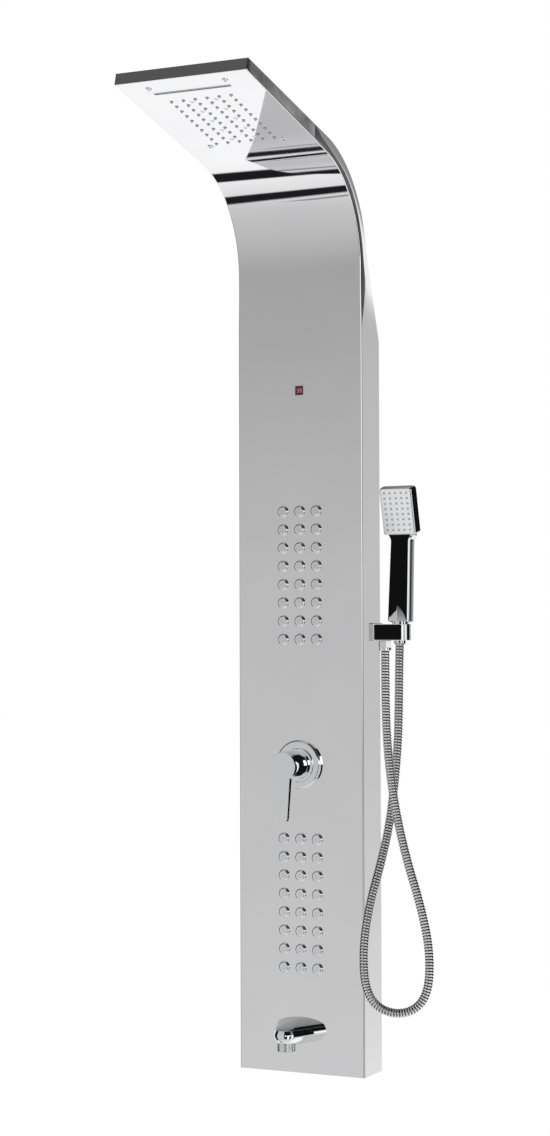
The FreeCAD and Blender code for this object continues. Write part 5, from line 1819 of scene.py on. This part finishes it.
    def build_cone(self) -> None:
        """Cone of the hose in the holder's socket."""
        piece = Piece("hose_end_cone", CHROME)
        middle = (self.socket_top + self.socket_bottom) / 2 - self.clearance
        low, high = -self.cone_end, self.handle_start
        narrow, wide = middle + self.socket_taper * low, middle + self.socket_taper * high
        piece.turned([(narrow - 0.8, low), (narrow, low + 0.8), (wide, high)], self.place, sides=56)
        piece.dress(Body.HANDSET, "hose_cone", smooth=40.0)

    def build(self) -> None:
        """Build the holder and the hand shower."""
        self.build_holder()
        self.build_outlet()
        self.build_body()
        self.build_face()
        self.build_grip()
        self.build_cone()


# ---------------------------------------------------------------- hose
@dataclass
class ShowerHose:
    """Ribbed metal hose from the nut below the holder to the hand shower's cone."""

    length: float = 1.117
    diameter: float = 0.013
    groove: float = 0.0011
    pitch: float = 0.0042
    sides: int = 20
    # Rings of each rib, from the groove's bottom, that take the painted shade.
    painted_shade_rings: int = 2
    rib_shape: tuple[Flat, ...] = (
        (0.0, 0.0), (0.20, 0.0), (0.34, 0.75), (0.46, 1.0), (0.74, 1.0), (0.88, 0.75),
    )
    route: tuple[Place, ...] = (
        (0.1185, -0.024, 0.014), (0.1185, -0.024, -0.022), (0.121, -0.0285, -0.080),
        (0.1295, -0.0395, -0.145), (0.144, -0.049, -0.215), (0.1635, -0.0545, -0.285),
        (0.184, -0.0535, -0.348), (0.1975, -0.0505, -0.414), (0.1945, -0.0505, -0.4765),
        (0.1695, -0.056, -0.5035), (0.133, -0.0665, -0.5035), (0.108, -0.076, -0.4765),
        (0.106, -0.0815, -0.415), (0.1125, -0.074, -0.353), (0.124, -0.058, -0.295),
        (0.1305, -0.039, -0.238), (0.134, -0.028, -0.178), (0.1385, -0.025, -0.118),
        (0.141, -0.027, -0.055), (0.142, -0.02816, -0.01184), (0.142, -0.02533, 0.02405),
    )

    def line(self) -> list[Vector]:
        """Points read from the route's smooth spline."""
        curve = bpy.data.curves.new("hose_line", "CURVE")
        curve.dimensions = "3D"
        spline = curve.splines.new("NURBS")
        spline.points.add(len(self.route) - 1)
        for point, place in zip(spline.points, self.route):
            point.co = (*place, 1)
        spline.order_u = 3
        spline.use_endpoint_u = True
        spline.resolution_u = 24
        holder = placed("hose_line", curve)
        mesh = as_built(holder)
        points = [vertex.co.copy() for vertex in mesh.vertices]
        bpy.data.objects.remove(holder)
        bpy.data.meshes.remove(mesh)
        return points

    def rings(self, total: float) -> list[Flat]:
        """Distance along the hose and radius of every ring of the ribbed tube.

        Args:
            total: Length of the line.

        Returns:
            The pairs, from the first end to the other.
        """
        root = self.diameter / 2 - self.groove
        ribs = round(total / self.pitch)
        pitch = total / ribs
        found = []
        for rib in range(ribs):
            found += [((rib + share) * pitch, root + proud * self.groove) for share, proud in self.rib_shape]
        return found + [(total, root)]

    def tube(self, line: list[Vector], passed: list[float]) -> tuple[list[Vector], list[tuple[int, ...]]]:
        """Points and side faces of the ribbed tube, and its two ends.

        Args:
            line: Points of the hose's line.
            passed: Distance of each of them from the first.

        Returns:
            The points and the faces; the last two faces are the ends.
        """
        rings = self.rings(passed[-1])
        vertices, faces = [], []
        index = 0
        normal = Vector((0, -1, 0))
        for distance, radius in rings:
            while index < len(line) - 2 and distance > passed[index + 1]:
                index += 1
            run = line[index + 1] - line[index]
            along = min((distance - passed[index]) / (passed[index + 1] - passed[index]), 1.0)
            tangent = run.normalized()
            if index + 2 < len(line):
                tangent = tangent.lerp((line[index + 2] - line[index + 1]).normalized(), along).normalized()
            normal = (normal - tangent * normal.dot(tangent)).normalized()
            other = tangent.cross(normal)
            centre = line[index] + run * along
            loop = circle(radius, 0.0, self.sides)
            vertices += [centre + normal * point.x + other * point.y for point in loop]
        last = (len(rings) - 1) * self.sides
        for low in range(0, last, self.sides):
            for side in range(self.sides):
                after = (side + 1) % self.sides
                faces.append((low + side, low + after, low + self.sides + after, low + self.sides + side))
        return vertices, faces + [tuple(reversed(range(self.sides))), tuple(range(last, last + self.sides))]

    def build(self) -> None:
        line = self.line()
        passed = [0.0]
        for low, high in zip(line, line[1:]):
            passed.append(passed[-1] + (high - low).length)
        vertices, faces = self.tube(line, passed)
        mesh = bpy.data.meshes.new("ribbed_hose")
        mesh.from_pydata(vertices, [], faces)
        for finish in (HOSE_METAL, HOSE_GROOVE_PAINTED_SHADE):
            mesh.materials.append(finish.material())
        # The groove rings of every rib take the painted shade; the rest is bright metal.
        rings = [face // self.sides % len(self.rib_shape) for face in range(len(faces) - 2)]
        marks = [int(ring < self.painted_shade_rings) for ring in rings]
        mesh.polygons.foreach_set("material_index", marks + [0, 0])
        mesh.shade_smooth()
        made = placed("ribbed_hose", mesh)
        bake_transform(made)
        made.visible_glossy = False
        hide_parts("shower_hose")
        LOG.info("ribbed_hose is %.3f m long", passed[-1])


# ---------------------------------------------------------------- carried-over CAD nodes
CARRIED: dict[Finish, str] = {
    GREY: "rain_chamber display_case",
    BOARD: "led_board",
    PIPE: "upper_jet_manifold lower_jet_manifold rain_riser waterfall_riser upper_jets_pipe lower_jets_pipe"
          " spout_pipe handset_pipe",
    BRASS: "mixer_valve inlet_unions cartridge_nut cartridge_stem spout_nut holder_nut hose_outlet"
           " spout_elbow",
    SEAL: "valve_gasket spout_gasket",
    WHITE: "mixer_cartridge stem_carrier",
    INNER_STEEL: "stem_pin handle_screw upper_bracket lower_bracket upper_hanger lower_hanger",
}


def dress_carried() -> None:
    """Give every CAD node that stays its finish."""
    for finish, names in CARRIED.items():
        for name in names.split():
            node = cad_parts[name]
            node.visible_glossy = False
            for slot in node.material_slots:
                slot.material = finish.material()
            LOG.info("%s keeps its CAD shape, in %s", name, finish.name)


# ---------------------------------------------------------------- studio
@dataclass
class Studio:
    """Camera, floor, lights and surroundings."""

    eye: Place = (1.46493, -3.14662, 0.04412)
    yaw: float = 26.025
    pitch: float = 1.534
    roll: float = -0.184
    lens: float = 73.884
    sensor: float = 36.0
    floor_height: float = -0.75
    floor_size: float = 30.0
    paper_level: float = 0.93
    white_strength: float = 1.08
    white_share: float = 0.82
    light_tone: Color = (0.74, 0.745, 0.75)
    card_distance: float = 1.0
    card_azimuth: float = 25.0
    card_half_width: float = 0.62
    card_bottom: float = -0.95
    card_top: float = 1.0
    card_levels: tuple[Flat, ...] = (
        (-0.95, 0.66), (-0.66, 0.61), (-0.12, 0.555), (0.117, 0.53), (0.375, 0.475), (0.57, 0.42),
        (0.70, 0.40), (1.0, 0.34),
    )
    # Strips that the metal sees: middle and half width in degrees, level, lowest and highest rise as a sine.
    strips: tuple[tuple[float, float, float, float, float], ...] = (
        (41.0, 33.0, 0.006, -0.62, 2.0), (47.0, 9.0, 1.25, -0.62, 0.22), (64.0, 11.0, 1.1, 0.0, 0.2),
        (88.0, 10.0, 0.95, -0.62, 0.22), (124.0, 24.0, 0.006, -0.62, 2.0),
        (-82.0, 18.0, 0.006, -0.62, 2.0), (-117.0, 14.0, 0.9, -0.62, 0.22),
        (-165.0, 12.0, 0.01, -0.62, 0.3), (23.5, 5.5, 1.6, -0.035, 0.24),
    )
    strip_edge: float = 3.0
    rise_edge: float = 0.02
    # Dark strips low down, which the bent neck mirrors: middle and half width in degrees.
    neck_strips: tuple[Flat, ...] = ((-66.0, 8.0), (-52.0, 0.8), (-123.0, 9.5))
    neck_strip_top: Flat = (-0.76, -0.80)
    neck_strip_tone: Color = (0.012, 0.012, 0.013)
    # Level of the surroundings by height, from straight below at 0 to straight above at 1.
    front_levels: tuple[Flat, ...] = (
        (0.0, 0.80), (0.08, 0.70), (0.16, 0.58), (0.28, 0.52), (0.42, 0.46), (0.50, 0.43), (0.57, 0.40),
        (0.65, 0.28), (0.80, 0.09), (0.90, 0.16), (1.0, 0.75),
    )
    rear_levels: tuple[Flat, ...] = (
        (0.0, 0.85), (0.07, 0.95), (0.2, 1.0), (0.40, 0.80), (0.44, 0.66), (0.48, 0.57), (0.53, 0.55),
        (0.566, 0.50), (0.572, 0.56), (0.578, 0.95), (0.590, 0.90), (0.600, 0.30), (0.62, 0.27),
        (0.80, 0.12), (0.90, 0.18), (1.0, 0.75),
    )

    # Soft boxes: name, place, size in metres and power in watts.
    boxes: tuple[tuple[str, Place, float, float], ...] = (
        ("key_box", (-1.6, -2.2, 1.9), 1.1, 26.0), ("fill_box", (2.4, -1.2, 1.2), 0.8, 9.0),
    )

    def build_camera(self) -> None:
        """Camera at the photograph's place, pointed as it was."""
        data = bpy.data.cameras.new("camera")
        data.sensor_fit = "VERTICAL"
        data.sensor_height = self.sensor
        data.lens = self.lens
        camera = placed("camera", data)
        yaw, pitch, roll = (math.radians(value) for value in (self.yaw, self.pitch, self.roll))
        level = Vector((-math.sin(yaw), math.cos(yaw), 0)) * math.cos(pitch)
        forward = level + Vector((0, 0, math.sin(pitch)))
        right = Vector((math.cos(yaw), math.sin(yaw), 0))
        up = right.cross(forward)
        across = right * math.cos(roll) + up * math.sin(roll)
        upward = up * math.cos(roll) - right * math.sin(roll)
        turn = Matrix((across, upward, -forward)).transposed().to_4x4()
        camera.matrix_world = Matrix.Translation(self.eye) @ turn
        bpy.context.scene.camera = camera

    def plane(self, name: str, corners: list[Place]) -> bpy.types.Object:
        """Add a flat piece of the stage.

        Args:
            name: Its name.
            corners: Its corners in metres.

        Returns:
            The object.
        """
        mesh = bpy.data.meshes.new(name)
        mesh.from_pydata(corners, [], [tuple(range(len(corners)))])
        made = placed(name, mesh)
        return made

    def build_floor(self) -> None:
        """Pale floor, which the camera and the glass see as white paper."""
        half = self.floor_size / 2
        corners = ((-half, -half), (half, -half), (half, half), (-half, half))
        floor = self.plane("floor", [(x, y, self.floor_height) for x, y in corners])
        floor.visible_glossy = False
        material = blank_material("floor_paper")
        wiring = Wiring(material.node_tree)
        surface = {"Base Color": grey(self.paper_level), "Roughness": 0.9}
        paper = wiring.node("ShaderNodeBsdfPrincipled", surface)
        white = wiring.node("ShaderNodeEmission", {"Color": grey(1.0), "Strength": self.white_strength})
        path = wiring.node("ShaderNodeLightPath").outputs
        seen = wiring.math("ADD", path["Is Camera Ray"], path["Is Transmission Ray"], clamp=True)
        share = wiring.math("MULTIPLY", seen, self.white_share)
        blend = wiring.node("ShaderNodeMixShader", {0: share, 1: paper.outputs[0], 2: white.outputs[0]})
        wiring.node("ShaderNodeOutputMaterial", {0: blend.outputs[0]})
        floor.data.materials.append(material)

    def build_card(self) -> None:
        """Soft reflector beside the camera, seen only in the metal."""
        angle = math.radians(self.card_azimuth)
        middle = Vector((-math.sin(angle), -math.cos(angle), 0)) * self.card_distance
        across = Vector((math.cos(angle), -math.sin(angle), 0)) * self.card_half_width
        low, high = self.card_bottom, self.card_top
        places = ((-1, low), (1, low), (1, high), (-1, high))
        corners = [tuple(middle + across * side + Vector((0, 0, z))) for side, z in places]
        card = self.plane("reflector_card", corners)
        for kind in ("visible_camera", "visible_diffuse", "visible_shadow", "visible_transmission"):
            setattr(card, kind, False)
        material = blank_material("reflector_fabric")
        wiring = Wiring(material.node_tree)
        place = wiring.node("ShaderNodeTexCoord").outputs["Object"]
        height = wiring.node("ShaderNodeSeparateXYZ", {0: place}).outputs[2]
        share = wiring.span(height, low, high)
        tone = wiring.ramp(share, [((z - low) / (high - low), level) for z, level in self.card_levels])
        glow = wiring.node("ShaderNodeEmission", {"Color": tone, "Strength": 1.0})
        wiring.node("ShaderNodeOutputMaterial", {0: glow.outputs[0]})
        card.data.materials.append(material)

    def strip(
        self, wiring: Wiring, azimuth: Socket, centre: float, half: float,
    ) -> Socket:
        """Mask of an upright strip of the surroundings.

        Args:
            wiring: Wiring of the world.
            azimuth: Direction in degrees, 0 in front of the panel and positive to its right.
            centre: Middle of the strip in degrees.
            half: Half its width in degrees.

        Returns:
            The mask.
        """
        away = wiring.math("ABSOLUTE", wiring.math("SUBTRACT", azimuth, centre))
        soft = self.strip_edge
        return wiring.math("MULTIPLY_ADD", away, -1.0 / soft, half / soft + 0.5, clamp=True)

    def build_world(self) -> None:
        """Even soft light; metal sees a studio that darkens upward, the camera sees white paper."""
        world = bpy.data.worlds.new("studio")
        world.use_nodes = True
        bpy.context.scene.world = world
        wiring = Wiring(world.node_tree)
        direction = wiring.node("ShaderNodeTexCoord").outputs["Generated"]
        parts = wiring.node("ShaderNodeSeparateXYZ", {0: direction}).outputs
        lift = wiring.math("MULTIPLY_ADD", parts[2], 0.5, 0.5)
        behind = wiring.math("MULTIPLY_ADD", parts[1], 2.0, 0.5, clamp=True)
        studio = wiring.mix(behind, wiring.ramp(lift, self.front_levels), wiring.ramp(lift, self.rear_levels))
        turned = wiring.math("ARCTAN2", parts[0], wiring.math("MULTIPLY", parts[1], -1.0))
        azimuth = wiring.math("DEGREES", turned)
        edge = self.rise_edge
        for centre, half, level, low, high in self.strips:
            above = wiring.span(parts[2], low - edge, low + edge)
            below = wiring.span(parts[2], high + edge, high - edge)
            mask = wiring.math("MULTIPLY", self.strip(wiring, azimuth, centre, half), above)
            studio = wiring.mix(wiring.math("MULTIPLY", mask, below), studio, grey(level))
        shade = None
        for centre, half in self.neck_strips:
            near = self.strip(wiring, azimuth, centre, half)
            shade = near if shade is None else wiring.math("MAXIMUM", shade, near)
        shade = wiring.math("MULTIPLY", shade, wiring.span(parts[2], *self.neck_strip_top))
        studio = wiring.mix(shade, studio, (*self.neck_strip_tone, 1))
        path = wiring.node("ShaderNodeLightPath").outputs
        mirrored = wiring.math("ADD", path["Is Glossy Ray"], path["Is Transmission Ray"], clamp=True)
        light = wiring.mix(mirrored, (*self.light_tone, 1), studio)
        seen = wiring.mix(path["Is Camera Ray"], light, grey(1.0))
        background = wiring.node("ShaderNodeBackground", {"Color": seen, "Strength": 1.0})
        wiring.node("ShaderNodeOutputWorld", {0: background.outputs[0]})

    def build_lights(self) -> None:
        """Two soft boxes."""
        for name, place, size, power in self.boxes:
            data = bpy.data.lights.new(name, "AREA")
            data.shape = "SQUARE"
            data.size = size
            data.energy = power
            lamp = placed(name, data)
            lamp.location = place
            lamp.rotation_euler = Vector(place).to_track_quat("Z", "Y").to_euler()
            lamp.visible_glossy = False

    def build(self) -> None:
        """Build the studio."""
        self.build_floor()
        self.build_card()
        self.build_world()
        self.build_lights()
        bpy.context.scene.view_settings.view_transform = "Standard"


@dataclass
class ShowerPanel:
    """The whole dressed shower panel."""

    hose: ShowerHose = field(default_factory=ShowerHose)
    column: BentColumn = field(default_factory=BentColumn)
    head: RainHead = field(default_factory=RainHead)
    display: Display = field(default_factory=Display)
    jets: BodyJets = field(default_factory=BodyJets)
    mixer: Mixer = field(default_factory=Mixer)
    spout: BathSpout = field(default_factory=BathSpout)
    hand_shower: HandShower = field(default_factory=HandShower)

    def build(self) -> None:
        """Build every sub-assembly in order."""
        water_side = (self.head, self.display, self.jets, self.mixer, self.spout, self.hand_shower)
        for part in (self.hose, self.column, *water_side):
            part.build()
        dress_carried()


def main() -> None:
    """Build the studio and the shower panel."""
    logging.basicConfig(level=logging.INFO, format="%(message)s")
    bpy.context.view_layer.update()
    studio = Studio()
    studio.build_camera()
    ShowerPanel().build()
    studio.build()
    bpy.context.view_layer.update()


if __name__ == "__main__":
    main()
